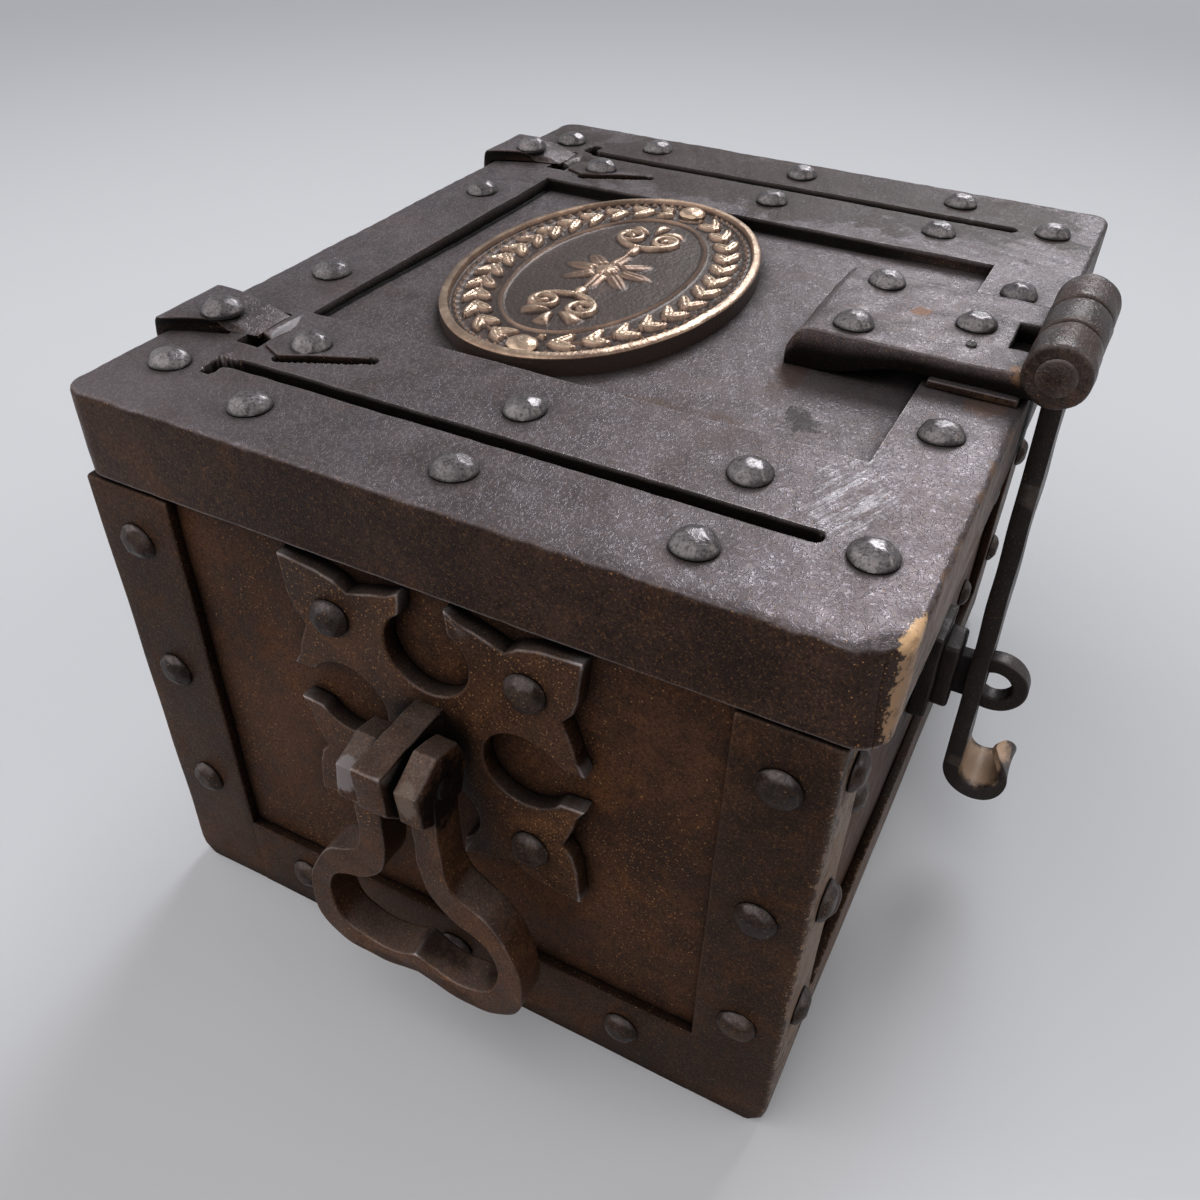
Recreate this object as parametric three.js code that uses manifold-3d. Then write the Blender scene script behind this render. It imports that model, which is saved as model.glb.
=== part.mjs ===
// Iron strongbox: a riveted plate case, a hinged lid with a hasp, and a drop handle on each end.
// Millimetres, +Z up. The origin is the middle of the lid's plan, on the table.
// -Y is the front with the hasp, +Y the back with the hinges, and a handle is on each X end.
import * as THREE from "three";
import { mergeVertices } from "three/addons/utils/BufferGeometryUtils.js";
import Module from "manifold-3d";

const wasm = await Module();
wasm.setup();

// Overall sizes
const lidLength = 203;
const lidDepth = 166;
const totalHeight = 140;
const lidHeight = 19;

// Plate, strap and gap sizes that the whole object shares
const wallThickness = 5;
const floorThickness = 5;
const strapThickness = 2.5;
const seatGap = 0.3;
const runningGap = 0.35;
const cutOverrun = 1;
const weldTolerance = 0.0001;

// Case: how its faces stand against the lid's edges, and its straps
const frontOverhang = 5;
const backStep = 0.5;
const strapTopGap = 1.2;
const frontStrapOnEnd = 19;
const backStrapOnEnd = 22;
const cornerStrapOnFace = 20;
const bottomStrapHeight = 23;
const footRadius = 5.5;
const topRivetInset = 12.8;
const lowRivetRise = 12;
const bottomRivetInset = 16.25;
const bottomRivetHeight = 13;
const panelRivetInset = 38;

// Rivet heads
const headRadius = 4.7;
const headHeight = 3.4;
const headSeat = 0.3;
const shankRadius = 2.2;
const tailGap = 0.5;

// Lid: top plate, the frame plate on it with its window and two grooves
const lidCornerRadius = 5;
const lidTopThickness = 4;
const framePlate = 3;
const lidLap = 2.5;
const windowEndInset = 50.2;
const windowFrontInset = 20.5;
const windowBackInset = 21.5;
const grooveInset = 24;
const grooveWidth = 3;
const grooveHook = 5;
const sideRivetInset = 11.8;
const sideRivetMargin = 37.5;
const innerRivetInset = 35.8;
const frontCornerInset = 22.5;
const backCornerInset = 18;
const frontRivetOffset = 36;
const backRivetOffset = 32.4;
const endRivetInset = 11.5;

// Lid hinges
const hingeInset = 37;
const hingeWidth = 19.5;
const hingeThickness = 3;
const hingePinRadius = 1.8;
const hingeKnuckleRadius = 4;
const hingeKnuckleWidth = 7.8;
const hingePadLength = 14.5;
const hingeNeckWidth = 9;
const hingeNeckThickness = 1.2;
const hingeHole = 4.6;
const hingeHoleInset = 19.3;
const tailHalfWidth = 9.5;
const tailThickness = 2;
const tailStart = 24;
const tailLength = 22;
const tailRivetInset = 31.5;
const padRivetInset = 9.5;
const hingeLeafDrop = 28;

// Hasp: leaf on the lid, its barrel and pin, and the hanging strap
const haspCentre = 1;
const leafWidth = 36;
const leafTop = 6;
const leafLift = 1.5;
const leafReach = 45;
const leafBevel = 4.5;
const leafRivetSpread = 24;
const leafRivetBack = 37;
const leafRivetFront = 14.7;
const packingProud = 1.5;
const packingDepth = 9.5;
const barrelLength = 38;
const barrelRadius = 6.8;
const barrelProud = 4;
const barrelRise = 7.5;
const haspPinRadius = 4;
const haspPinProud = 0.4;
const strapWidth = 12.6;
const haspThickness = 4.2;
const haspLean = 2.5;
const slotWidth = 5.6;
const slotBelowEye = 14.2;
const slotAboveEye = 9.2;
const curlRadius = 6.9;
const curlFlare = 3.4;
const lipRadius = 5;
const lipTurn = 78;
const curlBelowEye = 27.2;

// Staple on the front wall
const eyeHeight = 57.7;
const eyeReach = 15.2;
const eyeRadius = 7.8;
const eyeHoleRadius = 4.4;
const eyeHoleShift = 0.8;
const eyeThickness = 4;
const shankHalfHeight = 6;
const stapleBaseWidth = 16;
const stapleBaseHeight = 26;
const stapleBaseThickness = 4.5;
const stapleBossWidth = 11;
const stapleBossHeight = 19;
const stapleBossThickness = 4.3;
const tangHeight = 8;

// End handles: plate, post, pin and swinging bail
const handleTopGap = 1.4;
const handlePlateHalf = 33;
const handlePlateThickness = 4;
const handleCutRadius = 9.3;
const handleCutOffset = 20.5;
const handleCutMouth = 55;
const handleRivetOffset = 21.5;
const postWidth = 6.5;
const postHeight = 15;
const postReach = 20.5;
const postChamfer = 4;
const pivotReach = 10.5;
const pivotRise = 0.5;
const postTangRadius = 2.5;
const bailPinRadius = 2.5;
const bailPinProud = 0.5;
const bailKnuckleFlats = 17;
const bailKnuckleWidth = 6;
const bailDepth = 8;
const bailHalfWidth = 27;
const bailBottom = 22.4;

// Plaque on the lid's window
const plaqueEndGap = 1.1;
const plaqueBackGap = 11.7;
const plaqueLeafGap = 16.7;
const plaqueThickness = 3.4;
const plaqueRim = 3;
const plaqueRimRise = 1.6;
const plaqueReliefRise = 0.9;
const plaqueCentreX = 0.5;
const plaquePinInset = 6.7;
const plaquePinDrop = 2.5;
const plaquePinRadius = 2.3;
const plaquePinHeight = 1.6;
const plaqueSides = 64;

// How round shapes are divided
const headSides = 12;
const roundSides = 24;
const smallSides = 16;
const octagonSides = 8;
const arcSteps = 4;
const curveSteps = 6;

// Places that follow from the sizes above
const lidBottom = totalHeight - lidHeight;
const wallTop = lidBottom - seatGap;
const strapTop = lidBottom - strapTopGap;
const frameTop = totalHeight;
const panelTop = frameTop - framePlate;
const lidRoof = panelTop - lidTopThickness;
const endFace = lidLength / 2;
const endPanel = endFace - strapThickness;
const frontFace = -lidDepth / 2 + frontOverhang;
const frontPanel = frontFace + strapThickness;
const backFace = lidDepth / 2 + backStep;
const backPanel = backFace - strapThickness;
const lidFront = -lidDepth / 2;
const lidBack = lidDepth / 2;
const bottomStrapStart = frontFace + frontStrapOnEnd;
const bottomStrapEnd = backFace - backStrapOnEnd;
const hingePinY = lidBack + hingeKnuckleRadius;
const hingePinZ = wallTop - seatGap;
const haspPinY = lidFront - barrelProud;
const haspPinZ = frameTop + barrelRise;
const leafTopZ = frameTop + leafTop;
const eyeY = frontFace - eyeReach;
const handleFace = endPanel + handlePlateThickness;
const pivotX = handleFace + pivotReach;
const handleHeight = lidBottom - handlePlateHalf - handleTopGap;
const pivotZ = handleHeight + pivotRise;
const postTop = pivotZ + postHeight / 2;
const bailDrop = pivotZ - bailBottom;
const windowHalfLength = endFace - windowEndInset;
const windowFront = lidDepth / 2 - windowFrontInset;
const windowBack = lidDepth / 2 - windowBackInset;
const grooveOffset = endFace - grooveInset;
const sideRivetOffset = endFace - sideRivetInset;
const sideRivetPitch = lidDepth / 2 - sideRivetMargin;
const innerRivetOffset = endFace - innerRivetInset;
const frontCornerRivet = endFace - frontCornerInset;
const backCornerRivet = endFace - backCornerInset;
const hingeOffset = endFace - hingeInset;
const panelRivetOffset = endFace - panelRivetInset;
const topRivetZ = strapTop - topRivetInset;
const lowRivetZ = bottomStrapHeight + lowRivetRise;
const strapRivetMiddle = (topRivetZ + lowRivetZ) / 2;
const strapRivetPitch = (topRivetZ - lowRivetZ) / 2;
const bottomRivetPitch = (bottomStrapEnd - bottomStrapStart) / 2 - bottomRivetInset;
const curlDrop = haspPinZ - eyeHeight + curlBelowEye;
const leafBackY = haspPinY + leafReach + leafBevel + barrelProud;
const plaqueBackY = windowBack - plaqueBackGap;
const plaqueFrontY = leafBackY + plaqueLeafGap;
const plaqueHalfLength = windowHalfLength - plaqueEndGap;
const plaqueHalfWidth = (plaqueBackY - plaqueFrontY) / 2;
const plaqueCentreY = (plaqueBackY + plaqueFrontY) / 2;
const plaquePinOffset = plaqueHalfLength - plaquePinInset;

// Materials: colour, roughness and metalness as the photograph shows them
const paints = {
  iron: { color: 0x3b302b, roughness: 0.62, metalness: 0.55 },
  lid: { color: 0x4a4341, roughness: 0.48, metalness: 0.6 },
  fittings: { color: 0x35302e, roughness: 0.45, metalness: 0.7 },
  rivet: { color: 0x403c3b, roughness: 0.36, metalness: 0.8 },
  bronze: { color: 0x7a5a3c, roughness: 0.42, metalness: 0.8 },
};

// Turns a closed three.js geometry into a solid that can be joined and cut
function solidOf(geometry) {
  const bare = geometry.clone();
  bare.deleteAttribute("normal");
  bare.deleteAttribute("uv");
  const merged = mergeVertices(bare, weldTolerance);
  const index = merged.index.array;
  const kept = [];
  for (let i = 0; i < index.length; i += 3) {
    const [a, b, c] = [index[i], index[i + 1], index[i + 2]];
    if (a !== b && b !== c && c !== a) {
      kept.push(a, b, c);
    }
  }
  return new wasm.Manifold(
    new wasm.Mesh({
      numProp: 3,
      vertProperties: new Float32Array(merged.attributes.position.array),
      triVerts: new Uint32Array(kept),
    }),
  );
}

// Turns a solid back into a three.js geometry
function geometryOf(solid) {
  const mesh = solid.getMesh();
  const geometry = new THREE.BufferGeometry();
  geometry.setAttribute("position", new THREE.BufferAttribute(mesh.vertProperties, 3));
  geometry.setIndex(new THREE.BufferAttribute(mesh.triVerts, 1));
  geometry.computeVertexNormals();
  return geometry;
}

// A box between two corners
function block(xs, ys, zs) {
  const size = [xs, ys, zs].map(([low, high]) => high - low);
  const box = new THREE.BoxGeometry(...size);
  box.translate((xs[0] + xs[1]) / 2, (ys[0] + ys[1]) / 2, (zs[0] + zs[1]) / 2);
  return solidOf(box);
}

// An extruded outline, before it is turned to its axis
function extruded(shape, depth) {
  return new THREE.ExtrudeGeometry(shape, { depth, bevelEnabled: false, curveSegments: curveSteps });
}

// An XY outline run up Z
function alongZ(shape, low, high) {
  const geometry = extruded(shape, high - low);
  geometry.translate(0, 0, low);
  return solidOf(geometry);
}

// A YZ outline run along X
function alongX(shape, low, high) {
  const geometry = extruded(shape, high - low);
  const turn = new THREE.Matrix4().makeBasis(
    new THREE.Vector3(0, 1, 0),
    new THREE.Vector3(0, 0, 1),
    new THREE.Vector3(1, 0, 0),
  );
  geometry.applyMatrix4(turn);
  geometry.translate(low, 0, 0);
  return solidOf(geometry);
}

// An XZ outline run along Y
function alongY(shape, low, high) {
  const geometry = extruded(shape, high - low);
  const turn = new THREE.Matrix4().makeBasis(
    new THREE.Vector3(1, 0, 0),
    new THREE.Vector3(0, 0, 1),
    new THREE.Vector3(0, -1, 0),
  );
  geometry.applyMatrix4(turn);
  geometry.translate(0, high, 0);
  return solidOf(geometry);
}

// A closed outline through corners [across, up, radius], rounded where a radius is given
function outline(corners) {
  const shape = new THREE.Shape();
  const count = corners.length;
  corners.forEach(([x, y, radius = 0], i) => {
    const here = new THREE.Vector2(x, y);
    const before = corners[(i + count - 1) % count];
    const after = corners[(i + 1) % count];
    const back = new THREE.Vector2(before[0], before[1]).sub(here);
    const ahead = new THREE.Vector2(after[0], after[1]).sub(here);
    const reach = Math.min(radius, back.length() / 2, ahead.length() / 2);
    const start = here.clone().add(back.setLength(reach));
    const end = here.clone().add(ahead.setLength(reach));
    if (i === 0) {
      shape.moveTo(start.x, start.y);
    } else {
      shape.lineTo(start.x, start.y);
    }
    if (radius > 0) {
      shape.quadraticCurveTo(x, y, end.x, end.y);
    }
  });
  shape.closePath();
  return shape;
}

// A cylinder along one axis, between two places on it
function rod(axis, centre, radius, low, high, sides = smallSides) {
  const geometry = new THREE.CylinderGeometry(radius, radius, high - low, sides);
  const direction = new THREE.Vector3(axis === "x" ? 1 : 0, axis === "y" ? 1 : 0, axis === "z" ? 1 : 0);
  const turn = new THREE.Quaternion().setFromUnitVectors(new THREE.Vector3(0, 1, 0), direction);
  geometry.applyQuaternion(turn);
  const middle = direction.multiplyScalar((low + high) / 2);
  geometry.translate(centre[0] + middle.x, centre[1] + middle.y, centre[2] + middle.z);
  return solidOf(geometry);
}

// A domed rivet head whose flat side is at a place, facing along a direction, with a shank behind it
function rivet(place, facing, radius, height, shank = 0) {
  const domeShares = [
    [1, 0],
    [0.93, 0.45],
    [0.62, 0.84],
    [0, 1],
  ];
  const profile = domeShares.map(([out, up]) => new THREE.Vector2(out * radius, up * height));
  if (shank > 0) {
    profile.unshift(
      new THREE.Vector2(0, -shank),
      new THREE.Vector2(shankRadius, -shank),
      new THREE.Vector2(shankRadius, 0),
    );
  } else {
    profile.unshift(new THREE.Vector2(0, 0));
  }
  const geometry = new THREE.LatheGeometry(profile, headSides);
  const turn = new THREE.Quaternion().setFromUnitVectors(
    new THREE.Vector3(0, 1, 0),
    new THREE.Vector3(...facing),
  );
  geometry.applyQuaternion(turn);
  geometry.translate(...place);
  return solidOf(geometry);
}

// Rivet heads formed tight on a plate, as one solid with it
function withHeads(plate, places, facing) {
  return places.reduce((solid, place) => {
    const seat = place.map((value, i) => value - facing[i] * headSeat);
    return solid.add(rivet(seat, facing, headRadius, headHeight + headSeat));
  }, plate);
}

// Holes for loose rivets, drilled along the direction that their heads face
function drilled(plate, places, axis, low, high) {
  const radius = shankRadius + seatGap;
  return places.reduce((solid, place) => {
    const centre = place.map((value, i) => ("xyz"[i] === axis ? 0 : value));
    return solid.subtract(rod(axis, centre, radius, low, high, headSides));
  }, plate);
}

// A mirror pair of signs, for what the object has on both X ends
const sides = [
  ["left", -1],
  ["right", 1],
];

// Case envelope: the end profile with its rounded lower edges, run the length of the case
function caseEnvelope() {
  const profile = outline([
    [frontFace, 0, footRadius],
    [backFace, 0, footRadius],
    [backFace, wallTop],
    [frontFace, wallTop],
  ]);
  return alongX(profile, -endFace, endFace);
}

const envelope = caseEnvelope();

// Places where loose rivets go through the handle plates and end walls
function handleRivetPlaces(sign) {
  const places = [];
  for (const across of [-1, 1]) {
    for (const up of [-1, 1]) {
      places.push([sign * handleFace, across * handleRivetOffset, handleHeight + up * handleRivetOffset]);
    }
  }
  return places;
}

// The two X places that a span on one end has, low first
function spanX(sign, near, far) {
  return sign < 0 ? [-far, -near] : [near, far];
}

// Floor plate
function floorPlate() {
  return block([-endPanel, endPanel], [frontPanel, backPanel], [0, floorThickness]).intersect(envelope);
}

// Front wall, with the hole for the staple's tang and two columns of rivet heads
function frontWall() {
  let wall = block(
    [-endPanel, endPanel],
    [frontPanel, frontPanel + wallThickness],
    [floorThickness, wallTop],
  );
  wall = wall.subtract(stapleHole());
  const heads = [];
  for (const x of [-panelRivetOffset, panelRivetOffset]) {
    for (const row of [-1, 0, 1]) {
      heads.push([x, frontPanel, strapRivetMiddle + row * strapRivetPitch]);
    }
  }
  return withHeads(wall, heads, [0, -1, 0]);
}

// Back wall
function backWall() {
  return block(
    [-endPanel, endPanel],
    [backPanel - wallThickness, backPanel],
    [floorThickness, wallTop],
  );
}

// End wall, drilled for its handle
function endWall(sign) {
  const wall = block(
    spanX(sign, endPanel - wallThickness, endPanel),
    [frontPanel + wallThickness, backPanel - wallThickness],
    [floorThickness, wallTop],
  );
  const [low, high] = spanX(sign, endPanel - wallThickness - cutOverrun, endPanel + cutOverrun);
  const tangHole = rod("x", [0, 0, pivotZ], postTangRadius + seatGap, low, high);
  return drilled(wall, handleRivetPlaces(sign), "x", low, high).subtract(tangHole);
}

// Corner strap: an angle with a leg on the end and a leg on the front or back
function cornerStrap(sign, back) {
  const face = back ? backFace : frontFace;
  const panel = back ? backPanel : frontPanel;
  const legOnEnd = back ? backStrapOnEnd : frontStrapOnEnd;
  const inward = back ? -1 : 1;
  const legEnd = face + inward * legOnEnd;
  const corners = [
    [sign * endFace, face],
    [sign * endFace, legEnd],
    [sign * endPanel, legEnd],
    [sign * endPanel, panel],
    [sign * (endFace - cornerStrapOnFace), panel],
    [sign * (endFace - cornerStrapOnFace), face],
  ];
  if (sign * inward < 0) {
    corners.reverse();
  }
  let strap = alongZ(outline(corners), 0, strapTop).intersect(envelope);
  const onEnd = [];
  const onFace = [];
  for (const row of [-1, 0, 1]) {
    const z = strapRivetMiddle + row * strapRivetPitch;
    onEnd.push([sign * endFace, face + (inward * legOnEnd) / 2, z]);
    onFace.push([sign * (endFace - cornerStrapOnFace / 2), face, z]);
  }
  strap = withHeads(strap, onEnd, [sign, 0, 0]);
  return withHeads(strap, onFace, [0, -inward, 0]);
}

// Bottom strap between the corner straps of one end
function endBottomStrap(sign) {
  const strap = block(
    spanX(sign, endPanel, endFace),
    [bottomStrapStart, bottomStrapEnd],
    [0, bottomStrapHeight],
  );
  const middle = (bottomStrapStart + bottomStrapEnd) / 2;
  const heads = [-1, 0, 1].map((step) => [
    sign * endFace,
    middle + step * bottomRivetPitch,
    bottomRivetHeight,
  ]);
  return withHeads(strap, heads, [sign, 0, 0]);
}

// Bottom strap between the corner straps of the front or the back
function longBottomStrap(back) {
  const half = endFace - cornerStrapOnFace;
  const ys = back ? [backPanel, backFace] : [frontFace, frontPanel];
  return block([-half, half], ys, [0, bottomStrapHeight]).intersect(envelope);
}

// Lid cap: the top plate and the skirt round it, hollow underneath
function lidCap() {
  const cap = alongZ(lidPlan(), lidBottom, panelTop);
  const hollow = block(
    [-(endPanel - lidLap), endPanel - lidLap],
    [frontPanel + lidLap, backPanel - lidLap],
    [lidBottom - cutOverrun, lidRoof],
  );
  return drilled(cap.subtract(hollow), lidRivetPlaces(), "z", lidRoof - cutOverrun, frameTop);
}

// The lid's plan, with its rounded corners
function lidPlan() {
  return outline([
    [-endFace, lidFront, lidCornerRadius],
    [endFace, lidFront, lidCornerRadius],
    [endFace, lidBack, lidCornerRadius],
    [-endFace, lidBack, lidCornerRadius],
  ]);
}

// Places of the loose rivets that go through the lid
function lidRivetPlaces() {
  const places = [...leafRivetPlaces(), ...plaquePinPlaces()];
  for (const x of [-hingeOffset, hingeOffset]) {
    places.push([x, lidBack - padRivetInset, frameTop]);
    places.push([x, lidBack - tailRivetInset, frameTop]);
  }
  return places;
}

// Frame plate on the lid, with its window, grooves, hinge holes and rivet heads
function lidFrame() {
  let frame = alongZ(lidPlan(), panelTop, frameTop);
  const through = [panelTop - cutOverrun, frameTop + cutOverrun];
  frame = frame.subtract(
    block([-windowHalfLength, windowHalfLength], [-windowFront, windowBack], through),
  );
  for (const sign of [-1, 1]) {
    frame = frame.subtract(alongZ(groovePlan(sign), ...through));
    const x = sign * hingeOffset;
    const y = lidBack - hingeHoleInset;
    frame = frame.subtract(
      block([x - hingeHole / 2, x + hingeHole / 2], [y - hingeHole / 2, y + hingeHole / 2], through),
    );
  }
  frame = drilled(frame, lidRivetPlaces(), "z", ...through);
  return withHeads(frame, frameRivetPlaces(), [0, 0, 1]);
}

// One groove: a slot with a rounded front end and a short outward hook at the back
function groovePlan(sign) {
  const half = grooveWidth / 2;
  const inner = grooveOffset - half;
  const outer = grooveOffset + half;
  const corners = [
    [sign * inner, -windowFront, half],
    [sign * outer, -windowFront, half],
    [sign * outer, windowBack - grooveWidth, half],
    [sign * (outer + grooveHook), windowBack, 0],
    [sign * (outer + grooveHook), windowBack + grooveWidth / 2, 0],
    [sign * inner, windowBack, grooveWidth],
  ];
  return outline(sign < 0 ? corners.reverse() : corners);
}

// Places of the rivet heads on the lid's frame plate
function frameRivetPlaces() {
  const places = [];
  for (const sign of [-1, 1]) {
    for (const row of [-1, 0, 1]) {
      places.push([sign * sideRivetOffset, row * sideRivetPitch, frameTop]);
    }
    for (const row of [-1, 0]) {
      places.push([sign * innerRivetOffset, row * sideRivetPitch, frameTop]);
    }
    places.push([sign * frontCornerRivet, lidFront + endRivetInset, frameTop]);
    places.push([sign * backCornerRivet, lidBack - endRivetInset, frameTop]);
    places.push([sign * frontRivetOffset, lidFront + endRivetInset, frameTop]);
    places.push([sign * backRivetOffset, lidBack - endRivetInset, frameTop]);
  }
  return places;
}

// Lid side of a hinge: pad, neck and spade tail on the lid, and the knuckle behind it
function hingeStrap(sign) {
  const x = sign * hingeOffset;
  const half = hingeWidth / 2;
  const top = frameTop + hingeThickness;
  const outerY = lidBack + hingeThickness;
  const padStart = lidBack - hingePadLength;
  const clearZ = hingePinZ + hingeKnuckleRadius + 2 * runningGap;
  const pad = outline([
    [padStart, frameTop],
    [lidBack, frameTop],
    [lidBack, clearZ],
    [outerY, clearZ],
    [outerY, top, hingeThickness],
    [padStart, top, hingeThickness / 2],
  ]);
  let strap = alongX(pad, x - half, x + half);
  const neckHalf = hingeNeckWidth / 2;
  const tailTop = lidBack - tailStart;
  strap = strap.add(
    block(
      [x - neckHalf, x + neckHalf],
      [tailTop - cutOverrun, padStart + cutOverrun],
      [frameTop, frameTop + hingeNeckThickness],
    ),
  );
  strap = strap.add(alongZ(tailPlan(x, tailTop), frameTop, frameTop + tailThickness));
  const holeY = lidBack - hingeHoleInset;
  strap = strap.subtract(
    block(
      [x - hingeHole / 2, x + hingeHole / 2],
      [holeY - hingeHole / 2, holeY + hingeHole / 2],
      [frameTop - cutOverrun, top],
    ),
  );
  const knuckleHalf = hingeKnuckleWidth / 2;
  const web = outline([
    [hingePinY - hingeKnuckleRadius + seatGap, hingePinZ],
    [hingePinY, hingePinZ],
    [outerY, clearZ + cutOverrun],
    [hingePinY - hingeKnuckleRadius + seatGap, clearZ + cutOverrun],
  ]);
  const centre = [0, hingePinY, hingePinZ];
  const span = [x - knuckleHalf, x + knuckleHalf];
  strap = strap.add(alongX(web, ...span));
  strap = strap.add(rod("x", centre, hingeKnuckleRadius, ...span));
  strap = strap.subtract(
    rod("x", centre, hingePinRadius + seatGap, span[0] - cutOverrun, span[1] + cutOverrun),
  );
  const places = [
    [x, lidBack - padRivetInset, top],
    [x, lidBack - tailRivetInset, top],
  ];
  return drilled(strap, places, "z", frameTop - cutOverrun, top + cutOverrun);
}

// The spade tail's plan, from its shoulders at the neck to its point
function tailPlan(x, start) {
  const shoulder = start - tailLength / 4;
  return outline([
    [x - hingeNeckWidth / 2, start],
    [x - tailHalfWidth, shoulder, tailHalfWidth / 4],
    [x, start - tailLength],
    [x + tailHalfWidth, shoulder, tailHalfWidth / 4],
    [x + hingeNeckWidth / 2, start],
  ]);
}

// Case side of a hinge: a leaf on the back wall with two knuckles
function hingeLeaf(sign) {
  const x = sign * hingeOffset;
  const half = hingeWidth / 2;
  const gapHalf = hingeKnuckleWidth / 2 + runningGap;
  const leafFace = backPanel + hingeThickness;
  const lowest = hingePinZ - hingeLeafDrop;
  const plateTop = hingePinZ - hingeKnuckleRadius - 2 * runningGap;
  let leaf = block([x - half, x + half], [backPanel, leafFace], [lowest, plateTop]);
  const gusset = outline([
    [backPanel, plateTop - hingeKnuckleRadius],
    [leafFace, plateTop - 2 * hingeKnuckleRadius],
    [hingePinY + hingeKnuckleRadius, hingePinZ],
    [backPanel, hingePinZ],
  ]);
  const centre = [0, hingePinY, hingePinZ];
  for (const [low, high] of [
    [x - half, x - gapHalf],
    [x + gapHalf, x + half],
  ]) {
    leaf = leaf.add(alongX(gusset, low, high));
    leaf = leaf.add(rod("x", centre, hingeKnuckleRadius, low, high));
  }
  const span = [x - half - cutOverrun, x + half + cutOverrun];
  leaf = leaf.subtract(rod("x", centre, hingePinRadius + seatGap, ...span));
  leaf = leaf.subtract(
    block(span, [lidFront, lidBack + seatGap], [hingePinZ + seatGap, totalHeight]),
  );
  const headZ = (lowest + plateTop - hingeKnuckleRadius) / 2;
  return withHeads(leaf, [[x, leafFace, headZ]], [0, 1, 0]);
}

// Pin of one hinge
function hingePin(sign) {
  const half = hingeWidth / 2 + bailPinProud;
  const x = sign * hingeOffset;
  return rod("x", [0, hingePinY, hingePinZ], hingePinRadius, x - half, x + half);
}

// Places of the three rivets on the hasp's leaf
function leafRivetPlaces() {
  const backY = lidFront + leafRivetBack;
  return [
    [haspCentre - leafRivetSpread / 2, backY, leafTopZ],
    [haspCentre + leafRivetSpread / 2, backY, leafTopZ],
    [haspCentre, lidFront + leafRivetFront, leafTopZ],
  ];
}

// Leaf of the hasp: it rests on the window's panel and on its packing, and carries two knuckles
function haspLeaf() {
  const half = leafWidth / 2;
  const step = -windowFront + seatGap;
  const profile = outline([
    [haspPinY, frameTop + leafLift],
    [step, frameTop + leafLift],
    [step, panelTop],
    [leafBackY, panelTop, leafBevel / 2],
    [leafBackY - leafBevel, leafTopZ, leafBevel / 2],
    [haspPinY, leafTopZ],
  ]);
  let leaf = alongX(profile, haspCentre - half, haspCentre + half);
  const centre = [0, haspPinY, haspPinZ];
  const ends = [haspCentre - barrelLength / 2, haspCentre + barrelLength / 2];
  leaf = leaf.add(rod("x", centre, barrelRadius, ...ends, roundSides));
  const gapHalf = strapWidth / 2 + runningGap;
  const slotBack = haspPinY + barrelRadius + barrelProud;
  leaf = leaf.subtract(
    block(
      [haspCentre - gapHalf, haspCentre + gapHalf],
      [haspPinY - 2 * barrelRadius, slotBack],
      [frameTop, haspPinZ + 2 * barrelRadius],
    ),
  );
  leaf = leaf.subtract(
    rod("x", centre, haspPinRadius + seatGap, ends[0] - cutOverrun, ends[1] + cutOverrun, roundSides),
  );
  return drilled(leaf, leafRivetPlaces(), "z", panelTop - cutOverrun, leafTopZ + cutOverrun);
}

// Packing strip under the front of the leaf
function leafPacking() {
  const half = leafWidth / 2 + packingProud;
  const back = -windowFront - seatGap;
  const strip = block(
    [haspCentre - half, haspCentre + half],
    [back - packingDepth, back],
    [frameTop, frameTop + leafLift],
  );
  return drilled(strip, leafRivetPlaces(), "z", frameTop - cutOverrun, leafTopZ);
}

// Pin of the hasp
function haspPin() {
  const half = barrelLength / 2 + haspPinProud;
  const centre = [0, haspPinY, haspPinZ];
  return rod("x", centre, haspPinRadius, haspCentre - half, haspCentre + half, roundSides);
}

// Side profile of the hasp's strap: a leaning bar whose lower end curls outward into a lip
function strapProfile() {
  const half = haspThickness / 2;
  const curlY = haspPinY - haspLean - curlRadius;
  const curlZ = haspPinZ - curlDrop;
  const lipY = curlY - curlRadius + lipRadius;
  const lipZ = curlZ + lipRadius;
  const lean = haspLean / (haspPinZ - curlZ);
  const inner = [];
  const outer = [];
  const addPoint = (y, z, normalY, normalZ, thick) => {
    inner.push([y + normalY * thick, z + normalZ * thick]);
    outer.push([y - normalY * thick, z - normalZ * thick]);
  };
  addPoint(haspPinY, haspPinZ, 1, lean, half);
  const curlSteps = 3 * arcSteps;
  for (let i = 0; i <= curlSteps; i += 1) {
    const angle = (-Math.PI * i) / curlSteps;
    const [c, s] = [Math.cos(angle), Math.sin(angle)];
    addPoint(curlY + curlRadius * c, curlZ + curlRadius * s, c, s, half);
  }
  const lipSteps = 2 * arcSteps;
  const tipThinShare = 1 / 3;
  for (let i = 0; i <= lipSteps; i += 1) {
    const share = i / lipSteps;
    const angle = Math.PI - THREE.MathUtils.degToRad(lipTurn) * share;
    const [c, s] = [Math.cos(angle), Math.sin(angle)];
    addPoint(lipY + lipRadius * c, lipZ + lipRadius * s, c, s, half * (1 - share * tipThinShare));
  }
  return new THREE.Shape([...outer.reverse(), ...inner].map(([y, z]) => new THREE.Vector2(y, z)));
}

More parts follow.
